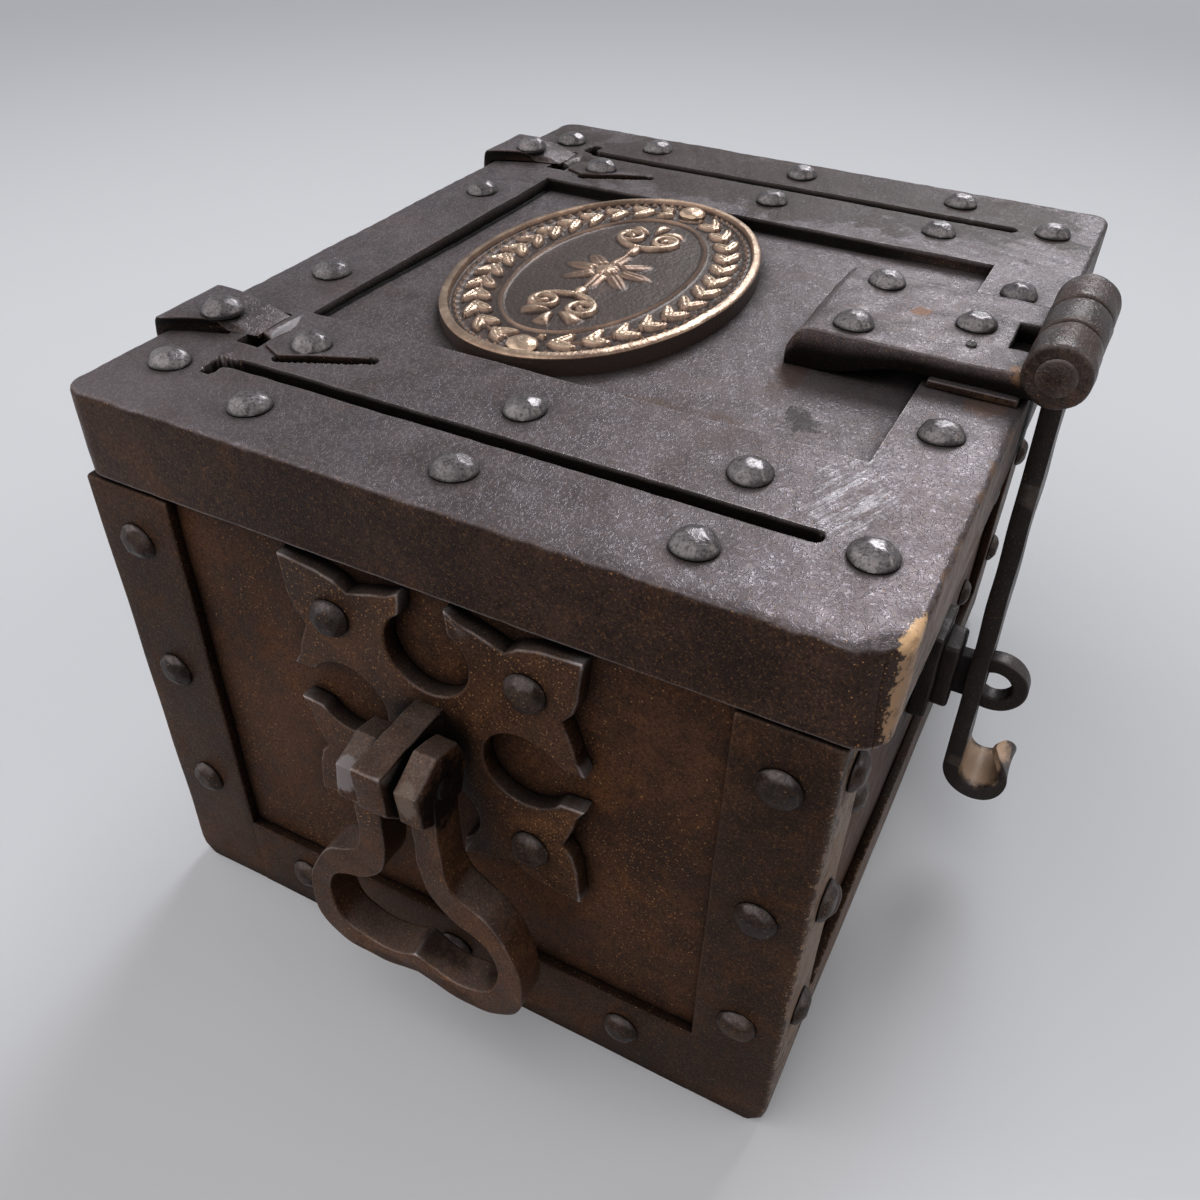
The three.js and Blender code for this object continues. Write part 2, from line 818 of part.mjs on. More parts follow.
// Strap of the hasp: profile, flared lower end, knuckle, pin bore and slot for the staple
function haspStrap() {
  const half = strapWidth / 2;
  const flared = half + curlFlare / 2;
  const slotTop = eyeHeight + slotAboveEye;
  const slotBottom = eyeHeight - slotBelowEye;
  const curlZ = haspPinZ - curlDrop;
  const lowest = curlZ - 2 * curlRadius;
  const front = outline([
    [haspCentre - flared, lowest],
    [haspCentre + flared, lowest],
    [haspCentre + flared, curlZ + curlRadius / 2, curlRadius],
    [haspCentre + half, slotBottom + curlFlare, curlRadius],
    [haspCentre + half, haspPinZ],
    [haspCentre - half, haspPinZ],
    [haspCentre - half, slotBottom + curlFlare, curlRadius],
    [haspCentre - flared, curlZ + curlRadius / 2, curlRadius],
  ]);
  const reach = [haspPinY - haspLean - 4 * curlRadius, haspPinY + haspThickness];
  let strap = alongX(strapProfile(), haspCentre - flared, haspCentre + flared);
  strap = strap.intersect(alongY(front, ...reach));
  const centre = [0, haspPinY, haspPinZ];
  const span = [haspCentre - half, haspCentre + half];
  strap = strap.add(rod("x", centre, barrelRadius - seatGap, ...span, roundSides));
  strap = strap.subtract(
    rod("x", centre, haspPinRadius + seatGap, span[0] - cutOverrun, span[1] + cutOverrun, roundSides),
  );
  const slot = outline([
    [haspCentre - slotWidth / 2, slotBottom, slotWidth / 2],
    [haspCentre + slotWidth / 2, slotBottom, slotWidth / 2],
    [haspCentre + slotWidth / 2, slotTop, slotWidth / 4],
    [haspCentre - slotWidth / 2, slotTop, slotWidth / 4],
  ]);
  return strap.subtract(alongY(slot, ...reach));
}

// Hole through the wall, base and boss for the staple's tang
function stapleHole() {
  const halfWidth = eyeThickness / 2 + seatGap;
  const halfHeight = tangHeight / 2 + seatGap;
  return block(
    [haspCentre - halfWidth, haspCentre + halfWidth],
    [frontPanel - 2 * stapleBaseThickness - stapleBossThickness, frontPanel + 2 * wallThickness],
    [eyeHeight - halfHeight, eyeHeight + halfHeight],
  );
}

// Stepped base that the staple comes through
function stapleBase() {
  const bossFace = frontPanel - stapleBaseThickness;
  const plate = block(
    [haspCentre - stapleBaseWidth / 2, haspCentre + stapleBaseWidth / 2],
    [bossFace, frontPanel],
    [eyeHeight - stapleBaseHeight / 2, eyeHeight + stapleBaseHeight / 2],
  );
  const boss = block(
    [haspCentre - stapleBossWidth / 2, haspCentre + stapleBossWidth / 2],
    [bossFace - stapleBossThickness, bossFace + cutOverrun],
    [eyeHeight - stapleBossHeight / 2, eyeHeight + stapleBossHeight / 2],
  );
  return plate.add(boss).subtract(stapleHole());
}

// Staple: the padlock eye, its shank and the tang through the wall
function haspStaple() {
  const span = [haspCentre - eyeThickness / 2, haspCentre + eyeThickness / 2];
  const bossFace = frontPanel - stapleBaseThickness - stapleBossThickness;
  let staple = rod("x", [0, eyeY, eyeHeight], eyeRadius, ...span, roundSides);
  staple = staple.add(
    block(span, [eyeY, bossFace], [eyeHeight - shankHalfHeight, eyeHeight + shankHalfHeight]),
  );
  staple = staple.add(
    block(
      span,
      [bossFace - cutOverrun, frontPanel + wallThickness],
      [eyeHeight - tangHeight / 2, eyeHeight + tangHeight / 2],
    ),
  );
  const hole = [0, eyeY - eyeHoleShift, eyeHeight];
  return staple.subtract(
    rod("x", hole, eyeHoleRadius, span[0] - cutOverrun, span[1] + cutOverrun, roundSides),
  );
}

// Handle plate outline: four fishtail lobes round four cut circles, in shares of its half size
function handlePlatePlan() {
  const tipShares = [1.01, 0.145];
  const bendShares = [0.95, 0.33];
  const notchShares = [0.865, 0.515];
  const lobeShares = [0.985, 0.72];
  const cornerShares = [0.985, 0.985];
  const edgeShares = [tipShares, bendShares, notchShares, lobeShares];
  const backShares = edgeShares.map(([across, up]) => [up, across]).reverse();
  const mouth = THREE.MathUtils.degToRad(handleCutMouth);
  const steps = 3 * arcSteps;
  const quarter = [...edgeShares, cornerShares, ...backShares].map(
    ([across, up]) => new THREE.Vector2(across * handlePlateHalf, up * handlePlateHalf),
  );
  for (let i = 0; i <= steps; i += 1) {
    const angle = mouth - ((Math.PI + 2 * mouth) * i) / steps;
    const place = new THREE.Vector2(Math.cos(angle), Math.sin(angle)).multiplyScalar(handleCutRadius);
    quarter.push(place.add(new THREE.Vector2(0, handleCutOffset)));
  }
  const points = [];
  for (let turn = 0; turn < 4; turn += 1) {
    for (const point of quarter) {
      points.push(point.clone().rotateAround(new THREE.Vector2(), (turn * Math.PI) / 2));
    }
  }
  return new THREE.Shape(points.map((point) => point.add(new THREE.Vector2(0, handleHeight))));
}

// Handle plate, drilled for its rivets and for the post's tang
function handlePlate(sign) {
  const plate = alongX(handlePlatePlan(), ...spanX(sign, endPanel, handleFace));
  const [low, high] = spanX(sign, endPanel - cutOverrun, handleFace + cutOverrun);
  const tangHole = rod("x", [0, 0, pivotZ], postTangRadius + seatGap, low, high);
  return drilled(plate, handleRivetPlaces(sign), "x", low, high).subtract(tangHole);
}

// Post that the bail swings on, with its tang through plate and wall
function handlePost(sign) {
  const tip = handleFace + postReach;
  const bottom = postTop - postHeight;
  const corners = [
    [sign * handleFace, postTop],
    [sign * handleFace, bottom],
    [sign * (tip - postChamfer), bottom],
    [sign * tip, bottom + postChamfer],
    [sign * tip, postTop - postChamfer],
    [sign * (tip - postChamfer), postTop],
  ];
  const shape = outline(sign > 0 ? corners : corners.reverse());
  let post = alongY(shape, -postWidth / 2, postWidth / 2);
  const [low, high] = spanX(sign, endPanel - wallThickness, handleFace + cutOverrun);
  post = post.add(rod("x", [0, 0, pivotZ], postTangRadius, low, high));
  const bore = [sign * pivotX, 0, pivotZ];
  return post.subtract(
    rod("y", bore, bailPinRadius + seatGap, -postWidth / 2 - cutOverrun, postWidth / 2 + cutOverrun),
  );
}

// Half width over the knuckles of a bail
const bailHalfSpan = postWidth / 2 + runningGap + bailKnuckleWidth;

// Pin of one handle
function bailPin(sign) {
  const half = bailHalfSpan + bailPinProud;
  return rod("y", [sign * pivotX, 0, pivotZ], bailPinRadius, -half, half);
}

// Bail outline below its pivot: a narrow neck that opens into a stirrup with a pointed waist below.
// Shares are of its half width across and of its drop below the pivot.
function bailPlan() {
  const outerShares = [
    [0.355, 0],
    [0.36, 0.26],
    [0.4, 0.375],
    [0.5, 0.44],
    [0.72, 0.465],
    [0.88, 0.57],
    [0.985, 0.7],
    [0.99, 0.82],
    [0.9, 0.93],
    [0.7, 0.99],
    [0.4, 1],
    [0.16, 0.995],
    [0, 0.97],
  ];
  const innerShares = [
    [0, 0.85],
    [0.13, 0.88],
    [0.3, 0.905],
    [0.5, 0.9],
    [0.68, 0.86],
    [0.78, 0.76],
    [0.765, 0.66],
    [0.69, 0.595],
    [0.5, 0.575],
    [0.32, 0.535],
    [0.2, 0.47],
    [0.155, 0.39],
    [0.14, 0.26],
    [0.135, 0],
  ];
  const side = [...outerShares, ...innerShares];
  const place = ([across, drop]) =>
    new THREE.Vector2(across * bailHalfWidth, pivotZ - drop * bailDrop);
  const right = side.map(place);
  const outer = right.slice(0, outerShares.length);
  const inner = right.slice(outerShares.length);
  const flip = (point) => new THREE.Vector2(-point.x, point.y);
  const loop = [
    ...outer.slice(0, -1).map(flip),
    ...outer.slice().reverse(),
    ...inner.slice().reverse(),
    ...inner.slice(1).map(flip),
  ];
  return new THREE.Shape(loop);
}

// Octagon of a bail's knuckles round the pivot
function knucklePlan(sign) {
  const radius = bailKnuckleFlats / 2 / Math.cos(Math.PI / octagonSides);
  const corners = [];
  for (let i = 0; i < octagonSides; i += 1) {
    const angle = ((i + 0.5) * 2 * Math.PI) / octagonSides;
    corners.push([sign * pivotX + radius * Math.cos(angle), pivotZ + radius * Math.sin(angle)]);
  }
  return outline(corners);
}

// Bail: the stirrup, two octagon knuckles either side of the post, and the bore for the pin
function bail(sign) {
  const [low, high] = spanX(sign, pivotX - bailDepth / 2, pivotX + bailDepth / 2);
  let ring = alongX(bailPlan(), low, high);
  const inner = postWidth / 2 + runningGap;
  for (const across of [-1, 1]) {
    const ys = across < 0 ? [-bailHalfSpan, -inner] : [inner, bailHalfSpan];
    ring = ring.add(alongY(knucklePlan(sign), ...ys));
  }
  const slot = block(
    spanX(sign, pivotX - bailKnuckleFlats, pivotX + bailKnuckleFlats),
    [-inner, inner],
    [pivotZ - bailKnuckleFlats / 2, pivotZ + bailKnuckleFlats / 2],
  );
  const bore = [sign * pivotX, 0, pivotZ];
  const reach = bailHalfSpan + cutOverrun;
  return ring.subtract(slot).subtract(rod("y", bore, bailPinRadius + seatGap, -reach, reach));
}

// An ellipse on the lid's panel, grown or shrunk from the plaque's edge
function ellipsePlan(inset) {
  const shape = new THREE.Shape();
  shape.absellipse(
    plaqueCentreX,
    plaqueCentreY,
    plaqueHalfLength - inset,
    plaqueHalfWidth - inset,
    0,
    2 * Math.PI,
  );
  return shape;
}

// An ellipse run up Z with enough sides for its size
function ellipsePlate(inset, low, high) {
  const geometry = new THREE.ExtrudeGeometry(ellipsePlan(inset), {
    depth: high - low,
    bevelEnabled: false,
    curveSegments: plaqueSides / 2,
  });
  geometry.translate(0, 0, low);
  return solidOf(geometry);
}

// Places of the two pins that hold the plaque
function plaquePinPlaces() {
  return [-1, 1].map((sign) => [
    plaqueCentreX + sign * plaquePinOffset,
    plaqueCentreY - plaquePinDrop,
    panelTop + plaqueThickness,
  ]);
}

// Plaque: an oval plate with a raised rim and a low oval boss, drilled for its pins
function plaque() {
  const face = panelTop + plaqueThickness;
  let plate = ellipsePlate(0, panelTop, face + plaqueRimRise);
  plate = plate.subtract(ellipsePlate(plaqueRim, face, face + 2 * plaqueRimRise));
  const bossInset = plaqueHalfWidth / 2;
  plate = plate.add(ellipsePlate(bossInset, face - cutOverrun, face + plaqueReliefRise));
  return drilled(plate, plaquePinPlaces(), "z", panelTop - cutOverrun, face + cutOverrun);
}

// Adds one named piece to the group
const strongbox = new THREE.Group();

function place(name, solid, paint) {
  const material = new THREE.MeshStandardMaterial(paint);
  const mesh = new THREE.Mesh(geometryOf(solid), material);
  mesh.name = name;
  strongbox.add(mesh);
}

// The case
place("floor_plate", floorPlate(), paints.iron);
place("front_wall", frontWall(), paints.iron);
place("back_wall", backWall(), paints.iron);
for (const [side, sign] of sides) {
  place(`${side}_wall`, endWall(sign), paints.iron);
  place(`front_${side}_corner_strap`, cornerStrap(sign, false), paints.iron);
  place(`back_${side}_corner_strap`, cornerStrap(sign, true), paints.iron);
  place(`${side}_bottom_strap`, endBottomStrap(sign), paints.iron);
}
place("front_bottom_strap", longBottomStrap(false), paints.iron);
place("back_bottom_strap", longBottomStrap(true), paints.iron);
place("staple_base", stapleBase(), paints.fittings);
place("hasp_staple", haspStaple(), paints.fittings);

// The handles
const wallShank = wallThickness + handlePlateThickness - tailGap;
for (const [side, sign] of sides) {
  place(`${side}_handle_plate`, handlePlate(sign), paints.iron);
  place(`${side}_handle_post`, handlePost(sign), paints.iron);
  place(`${side}_handle_pin`, bailPin(sign), paints.fittings);
  place(`${side}_bail`, bail(sign), paints.iron);
  handleRivetPlaces(sign).forEach((spot, i) => {
    const head = rivet(spot, [sign, 0, 0], headRadius, headHeight, wallShank);
    place(`${side}_handle_rivet_${i + 1}`, head, paints.rivet);
  });
}

// The lid
place("lid_cap", lidCap(), paints.lid);
place("lid_frame", lidFrame(), paints.lid);
for (const [side, sign] of sides) {
  place(`${side}_hinge_leaf`, hingeLeaf(sign), paints.fittings);
  place(`${side}_hinge_strap`, hingeStrap(sign), paints.lid);
  place(`${side}_hinge_pin`, hingePin(sign), paints.fittings);
  const x = sign * hingeOffset;
  const padSpot = [x, lidBack - padRivetInset, frameTop + hingeThickness];
  const padShank = hingeThickness + framePlate + lidTopThickness - tailGap;
  const padHead = rivet(padSpot, [0, 0, 1], headRadius, headHeight, padShank);
  place(`${side}_hinge_pad_rivet`, padHead, paints.rivet);
  const tailSpot = [x, lidBack - tailRivetInset, frameTop + tailThickness];
  const tailShank = tailThickness + framePlate + lidTopThickness - tailGap;
  const tailHead = rivet(tailSpot, [0, 0, 1], headRadius, headHeight, tailShank);
  place(`${side}_hinge_tail_rivet`, tailHead, paints.rivet);
}

// The plaque
place("plaque", plaque(), paints.bronze);
plaquePinPlaces().forEach((spot, i) => {
  const shank = plaqueThickness + lidTopThickness - tailGap;
  const head = rivet(spot, [0, 0, 1], headRadius - plaquePinRadius / 2, plaquePinHeight, shank);
  place(`plaque_pin_${i + 1}`, head, paints.bronze);
});

// The hasp
place("hasp_leaf", haspLeaf(), paints.lid);
place("leaf_packing", leafPacking(), paints.lid);
place("hasp_pin", haspPin(), paints.fittings);
place("hasp_strap", haspStrap(), paints.fittings);
leafRivetPlaces().forEach((spot, i) => {
  const shank = leafTopZ - lidRoof - tailGap;
  const head = rivet(spot, [0, 0, 1], headRadius, headHeight, shank);
  place(`leaf_rivet_${i + 1}`, head, paints.rivet);
});

export default strongbox;
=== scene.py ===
"""Riveted iron strongbox: its surfaces, finishes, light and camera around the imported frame.

Sizes are in millimetres and become metres when a mesh is made. The part's frame has +Z up, the
hasp on -Y, the hinges on +Y and a drop handle on each X end.
"""

import logging
import math
from dataclasses import dataclass, field
from enum import Enum, IntEnum
from typing import Callable, Iterable, Sequence

import bmesh
import bpy
import numpy as np
from mathutils import Matrix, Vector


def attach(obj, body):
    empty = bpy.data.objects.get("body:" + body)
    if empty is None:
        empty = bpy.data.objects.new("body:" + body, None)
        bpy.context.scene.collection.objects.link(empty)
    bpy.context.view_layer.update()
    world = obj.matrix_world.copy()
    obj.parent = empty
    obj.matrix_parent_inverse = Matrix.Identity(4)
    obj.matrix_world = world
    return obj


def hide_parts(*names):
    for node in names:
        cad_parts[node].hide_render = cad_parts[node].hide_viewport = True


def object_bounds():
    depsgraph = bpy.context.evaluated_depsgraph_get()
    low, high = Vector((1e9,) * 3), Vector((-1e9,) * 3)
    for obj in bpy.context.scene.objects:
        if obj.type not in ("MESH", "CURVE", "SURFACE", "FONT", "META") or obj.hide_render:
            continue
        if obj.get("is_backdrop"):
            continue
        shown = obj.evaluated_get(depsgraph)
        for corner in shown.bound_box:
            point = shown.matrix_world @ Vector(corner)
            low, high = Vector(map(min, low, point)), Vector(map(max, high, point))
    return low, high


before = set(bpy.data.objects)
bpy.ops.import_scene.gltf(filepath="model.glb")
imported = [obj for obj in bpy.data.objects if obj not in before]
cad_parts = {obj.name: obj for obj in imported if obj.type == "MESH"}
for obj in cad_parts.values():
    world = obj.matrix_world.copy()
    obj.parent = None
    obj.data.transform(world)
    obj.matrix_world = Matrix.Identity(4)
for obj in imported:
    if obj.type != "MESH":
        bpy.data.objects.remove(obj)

MM = 0.001
TURN = math.tau
LOG = logging.getLogger("strongbox")

Array = np.ndarray
Pair = tuple[float, float]
Point = tuple[float, float, float]
Paint = tuple[int, int, int]
Material = bpy.types.Material
Node = bpy.types.Node
Tree = bpy.types.NodeTree
Socket = bpy.types.NodeSocket
Inputs = dict[str | int, object]


class Body(Enum):
    """The moving groups of the strongbox."""

    CASE = "case"
    LID = "lid"
    HASP = "hasp"
    LEFT_HANDLE = "left_handle"
    RIGHT_HANDLE = "right_handle"


class Slot(Enum):
    """The record's material slots."""

    CASE = "case_iron"
    LID = "lid_iron"
    FITTINGS = "fittings_iron"
    RIVET = "rivet_iron"
    BRONZE = "bronze"


class End(IntEnum):
    """The two X ends of the box; the value is the sign of X."""

    LEFT = -1
    RIGHT = 1

    @property
    def word(self) -> str:
        """The end's name in a piece's name."""
        return self.name.lower()

    def span(self, near: float, far: float) -> Pair:
        """A stretch of X on this side of the box, low first."""
        low, high = sorted((self * near, self * far))
        return low, high


class Axis(Enum):
    """The axis that a section is carried along."""

    X = 0
    Y = 1
    Z = 2

    @property
    def others(self) -> list[int]:
        """The numbers of the two axes across it."""
        return [number for number in range(3) if number != self.value]


# Surfaces as arrays


@dataclass
class Shell:
    """Points in millimetres with the quads and end polygons between them."""

    points: Array
    quads: Array
    caps: list[Array] = field(default_factory=list)

    def moved(self, change: Callable[[Array], Array]) -> "Shell":
        """The same faces on changed points."""
        return Shell(change(self.points.copy()), self.quads, self.caps)

    def forged(self, amount: float, wavelength: float, seed: int) -> "Shell":
        """The shell pushed about by smooth waves, as hand-worked metal is."""
        return Shell(self.points + waves(self.points, amount, wavelength, seed), self.quads, self.caps)


def waves(points: Array, amount: float, wavelength: float, seed: int) -> Array:
    """Smooth vector noise: for each axis a sum of sines along random directions.

    Args:
        points: array of places, one row each.
        amount: typical size of the result.
        wavelength: typical length of a wave.
        seed: number that fixes the waves.

    Returns:
        One vector for each point.
    """
    rng = np.random.default_rng(seed)
    count = 7
    result = np.empty_like(points, dtype=float)
    for axis in range(3):
        ways = rng.normal(size=(count, 3))
        ways /= np.linalg.norm(ways, axis=1, keepdims=True)
        ways *= TURN / wavelength * rng.uniform(0.6, 1.7, size=(count, 1))
        phases = rng.uniform(0, TURN, count)
        result[:, axis] = amount * np.sin(points @ ways.T + phases).sum(axis=1) / math.sqrt(count)
    return result


def join(shells: Iterable[Shell]) -> Shell:
    """Several shells as one, each with its own faces."""
    points, quads, caps, start = [], [], [], 0
    for shell in shells:
        points.append(shell.points)
        quads.append(shell.quads + start)
        caps.extend(cap + start for cap in shell.caps)
        start += len(shell.points)
    return Shell(np.concatenate(points), np.concatenate(quads), caps)


def loft(rings: Array, capped: bool = True, looped: bool = False) -> Shell:
    """Closed loops of points joined one to the next by quads.

    Args:
        rings: array of shape (loops, points in a loop, 3).
        capped: close the first and last loop with a polygon.
        looped: join the last loop to the first.

    Returns:
        The shell.
    """
    count, sides = rings.shape[:2]
    index = np.arange(count * sides).reshape(count, sides)
    ahead = np.roll(index, -1, axis=0) if looped else index[1:]
    here = index if looped else index[:-1]
    quads = np.stack([here, np.roll(here, -1, 1), np.roll(ahead, -1, 1), ahead], axis=-1).reshape(-1, 4)
    caps = [index[0], index[-1]] if capped and not looped else []
    return Shell(rings.reshape(-1, 3), quads, caps)


def fillet(corners: Sequence[Point], spacing: float, arc: int = 4) -> Array:
    """A closed outline through corners, each rounded by a short curve, with points along its sides.

    Args:
        corners: (across, up, radius) of each corner.
        spacing: longest step along a straight side.
        arc: steps in each rounding.

    Returns:
        Array of points (n, 2) in order; a corner's curve touches both sides at radius / tan(half
        its angle) from the corner.
    """
    places = np.array([corner[:2] for corner in corners], float)
    radii = np.array([corner[2] for corner in corners], float)
    back = np.roll(places, 1, axis=0) - places
    front = np.roll(places, -1, axis=0) - places
    back_length, front_length = np.linalg.norm(back, axis=1), np.linalg.norm(front, axis=1)
    back, front = back / back_length[:, None], front / front_length[:, None]
    half = np.arccos(np.clip((back * front).sum(axis=1), -1, 1)) / 2
    reach = np.minimum(radii / np.tan(np.maximum(half, 1e-3)), 0.49 * np.minimum(back_length, front_length))
    share = np.linspace(0, 1, arc + 1)[None, :, None]
    start, end = (places + back * reach[:, None])[:, None], (places + front * reach[:, None])[:, None]
    bend = places[:, None]
    # a quadratic arc between the two touching points, close to a circle for small roundings
    curve = (1 - share) ** 2 * start + 2 * share * (1 - share) * bend + share**2 * end
    loop = [curve[i] if radii[i] > 0 else places[i : i + 1] for i in range(len(places))]
    return densify(np.concatenate(loop), spacing)


def run_of(line: Array) -> Array:
    """The length run from a line's start to each of its points."""
    return np.concatenate([[0], np.cumsum(np.linalg.norm(np.diff(line, axis=0), axis=1))])


def at_runs(line: Array, stops: Array) -> Array:
    """The places on a line at given lengths from its start."""
    run = run_of(line)
    return np.stack([np.interp(stops, run, line[:, axis]) for axis in range(2)], axis=1)


def densify(loop: Array, spacing: float) -> Array:
    """A closed outline with extra points so that no step is much over the spacing."""
    closed = np.vstack([loop, loop[:1]])
    run = run_of(closed)
    extra = np.arange(spacing, run[-1], spacing)
    near = np.abs(extra[:, None] - run).min(axis=1)
    return at_runs(closed, np.unique(np.concatenate([run[:-1], extra[near > spacing * 0.4]])))


def inset(loop: Array, distance: float) -> Array:
    """A closed outline moved inwards along its mitred normals.

    Args:
        loop: points in order, either way round.
        distance: how far each side moves in.

    Returns:
        The moved points; the mitre's length is the distance over the cosine of half the turn.
    """
    ahead = np.roll(loop, -1, axis=0)
    area = (loop[:, 0] * ahead[:, 1] - ahead[:, 0] * loop[:, 1]).sum()
    side = ahead - loop
    side /= np.maximum(np.linalg.norm(side, axis=1, keepdims=True), 1e-9)
    normal = np.stack([side[:, 1], -side[:, 0]], axis=1) * np.sign(area)
    before = np.roll(normal, 1, axis=0)
    mitre = (normal + before) / np.maximum(1 + (normal * before).sum(axis=1, keepdims=True), 0.35)
    return loop - distance * mitre


def stations(low: float, high: float, radius: float, step: float) -> tuple[Array, Array]:
    """Places along a carried section and how far it is drawn in there, to round both its ends.

    Args:
        low: first place.
        high: last place.
        radius: rounding of the end edges.
        step: longest step between the roundings.

    Returns:
        The places, and the inset at each: a quarter circle at both ends, with a flat rim inside it.
    """
    turn = np.linspace(0, math.pi / 2, 5)
    rise, draw = radius * (1 - np.cos(turn)), radius * (1 - np.sin(turn))
    count = max(1, math.ceil((high - low - 2 * radius) / step))
    middle = np.linspace(low + radius, high - radius, count + 1)[1:-1]
    rim = 0.3 * radius
    places = np.concatenate([[low], low + rise, middle, (high - rise)[::-1], [high]])
    draws = np.concatenate([[radius + rim], draw, np.zeros(len(middle)), draw[::-1], [radius + rim]])
    return places, draws


def stand(loop: Array, place: float, axis: Axis) -> Array:
    """A flat outline put across an axis: (y, z) on X, (x, z) on Y and (x, y) on Z."""
    points = np.full((len(loop), 3), float(place))
    points[:, axis.others] = loop
    return points


def prism(loop: Array, low: float, high: float, axis: Axis, radius: float, step: float = 8.0) -> Shell:
    """A closed outline carried straight along an axis from low to high, its end edges rounded."""
    places, draws = stations(low, high, radius, step)
    return loft(np.stack([stand(inset(loop, draw), place, axis) for place, draw in zip(places, draws)]))


def turned(centre: Point, axis: Axis, profile: Sequence[Pair], sides: int = 48) -> Shell:
    """A profile of (place along the axis, radius) turned round an axis through a centre."""
    angles = np.linspace(0, TURN, sides, endpoint=False)
    circle = np.stack([np.cos(angles), np.sin(angles)], axis=1)
    middle = np.array(centre)[axis.others]
    return loft(np.stack([stand(middle + circle * radius, place, axis) for place, radius in profile]))


def rod(centre: Point, axis: Axis, radius: float, low: float, high: float, edge: float) -> Shell:
    """A round bar with rounded ends."""
    places, draws = stations(low, high, edge, 3.0)
    return turned(centre, axis, [(place, radius - draw) for place, draw in zip(places, draws)])


def box_lines(low: float, high: float, radius: float, step: float) -> Array:
    """Grid lines across one side of a box, dense where its edges are rounded."""
    edge = radius * (1 - np.tan(np.radians([45, 30, 15, 0])))
    count = max(1, math.ceil((high - low - 2 * radius) / step))
    middle = np.linspace(low + radius, high - radius, count + 1)[1:-1]
    return np.concatenate([low + edge, middle, (high - edge)[::-1]])


def grid_cells(index: Array) -> Array:
    """The quads between the point numbers of a grid, as an array (m - 1, n - 1, 4)."""
    return np.stack([index[:-1, :-1], index[1:, :-1], index[1:, 1:], index[:-1, 1:]], axis=-1)


def box_grid(
    lines: Sequence[Array], skip_low_z: bool = False, extra: Array | None = None
) -> tuple[Array, Array, Array]:
    """The six faces of a box as grids of shared points.

    Args:
        lines: the grid lines along X, Y and Z.
        skip_low_z: leave the underside open.
        extra: points on the box whose numbers are wanted.

    Returns:
        The points, the quads and the numbers of the extra points.
    """
    points, quads, start = [], [], 0
    for axis in range(3):
        a, b = (axis + 1) % 3, (axis + 2) % 3
        across, up = np.meshgrid(lines[a], lines[b], indexing="ij")
        cells = grid_cells(np.arange(across.size).reshape(across.shape)).reshape(-1, 4)
        for end in (0, -1):
            if skip_low_z and axis == 2 and end == 0:
                continue
            face = np.empty((across.size, 3))
            face[:, axis] = lines[axis][end]
            face[:, a], face[:, b] = across.ravel(), up.ravel()
            points.append(face)
            quads.append((cells if end == -1 else cells[:, ::-1]) + start)
            start += len(face)
    if extra is not None:
        points.append(extra)
    shared, number = np.unique(np.round(np.concatenate(points), 5), axis=0, return_inverse=True)
    number = number.ravel()
    return shared, number[np.concatenate(quads)], number[start:]


def rounded(points: Array, low: Array, high: Array, radius: float) -> Array:
    """Points of a box's faces drawn on to its rounded edges: inner box plus radius times direction."""
    inner = np.clip(points, low + radius, high - radius)
    way = points - inner
    length = np.maximum(np.linalg.norm(way, axis=1, keepdims=True), 1e-9)
    return inner + way / length * radius


def slab(xs: Pair, ys: Pair, zs: Pair, radius: float, step: float) -> Shell:
    """A box with rounded edges on a grid of points.

    Args:
        xs: its span on X.
        ys: its span on Y.
        zs: its span on Z.
        radius: rounding of its edges.
        step: longest step of the grid.

    Returns:
        The closed shell.
    """
    spans = np.array([xs, ys, zs], float)
    lines = [box_lines(low, high, radius, step) for low, high in spans]
    points, quads, _ = box_grid(lines)
    return Shell(rounded(points, spans[:, 0], spans[:, 1], radius), quads)


def sheet_slab(top: Array, under: Array, keep: Array) -> Shell:
    """Two matching grids joined into a plate, with walls round every cell that is left out.

    Args:
        top: grid of points (m, n, 3).
        under: grid of points on the other side.
        keep: which cells (m - 1, n - 1) are solid.

    Returns:
        The closed shell.
    """
    index = np.arange(top[..., 0].size).reshape(top.shape[:2])
    below = index + index.size
    cells = grid_cells(index)[keep]
    quads = [cells, cells[:, ::-1] + index.size]
    padded = np.pad(keep, 1)
    rows = padded[1:, 1:-1] != padded[:-1, 1:-1]
    columns = padded[1:-1, 1:] != padded[1:-1, :-1]
    for edge, first, second, low_first, low_second in (
        (rows, index[:, :-1], index[:, 1:], below[:, :-1], below[:, 1:]),
        (columns, index[:-1], index[1:], below[:-1], below[1:]),
    ):
        quads.append(np.stack([first[edge], second[edge], low_second[edge], low_first[edge]], axis=-1))
    return Shell(np.concatenate([top.reshape(-1, 3), under.reshape(-1, 3)]), np.concatenate(quads))


def ease(value: Array, low: float, high: float) -> Array:
    """0 below low, 1 above high, and a smooth S between."""
    share = np.clip((value - low) / (high - low), 0, 1)
    return share * share * (3 - 2 * share)


def segment_distance(x: Array, y: Array, start: Pair, end: Pair) -> Array:
    """Distance of each point from a straight segment."""
    way = np.array(end) - np.array(start)
    share = np.clip(((x - start[0]) * way[0] + (y - start[1]) * way[1]) / (way @ way), 0, 1)
    return np.hypot(x - start[0] - share * way[0], y - start[1] - share * way[1])


def rect_distance(x: Array, y: Array, xs: Pair, ys: Pair) -> Array:
    """Signed distance of each point from a rectangle's edge, negative inside."""
    across = np.abs(x - sum(xs) / 2) - (xs[1] - xs[0]) / 2
    up = np.abs(y - sum(ys) / 2) - (ys[1] - ys[0]) / 2
    outside = np.hypot(np.maximum(across, 0), np.maximum(up, 0))
    return outside + np.minimum(np.maximum(across, up), 0)


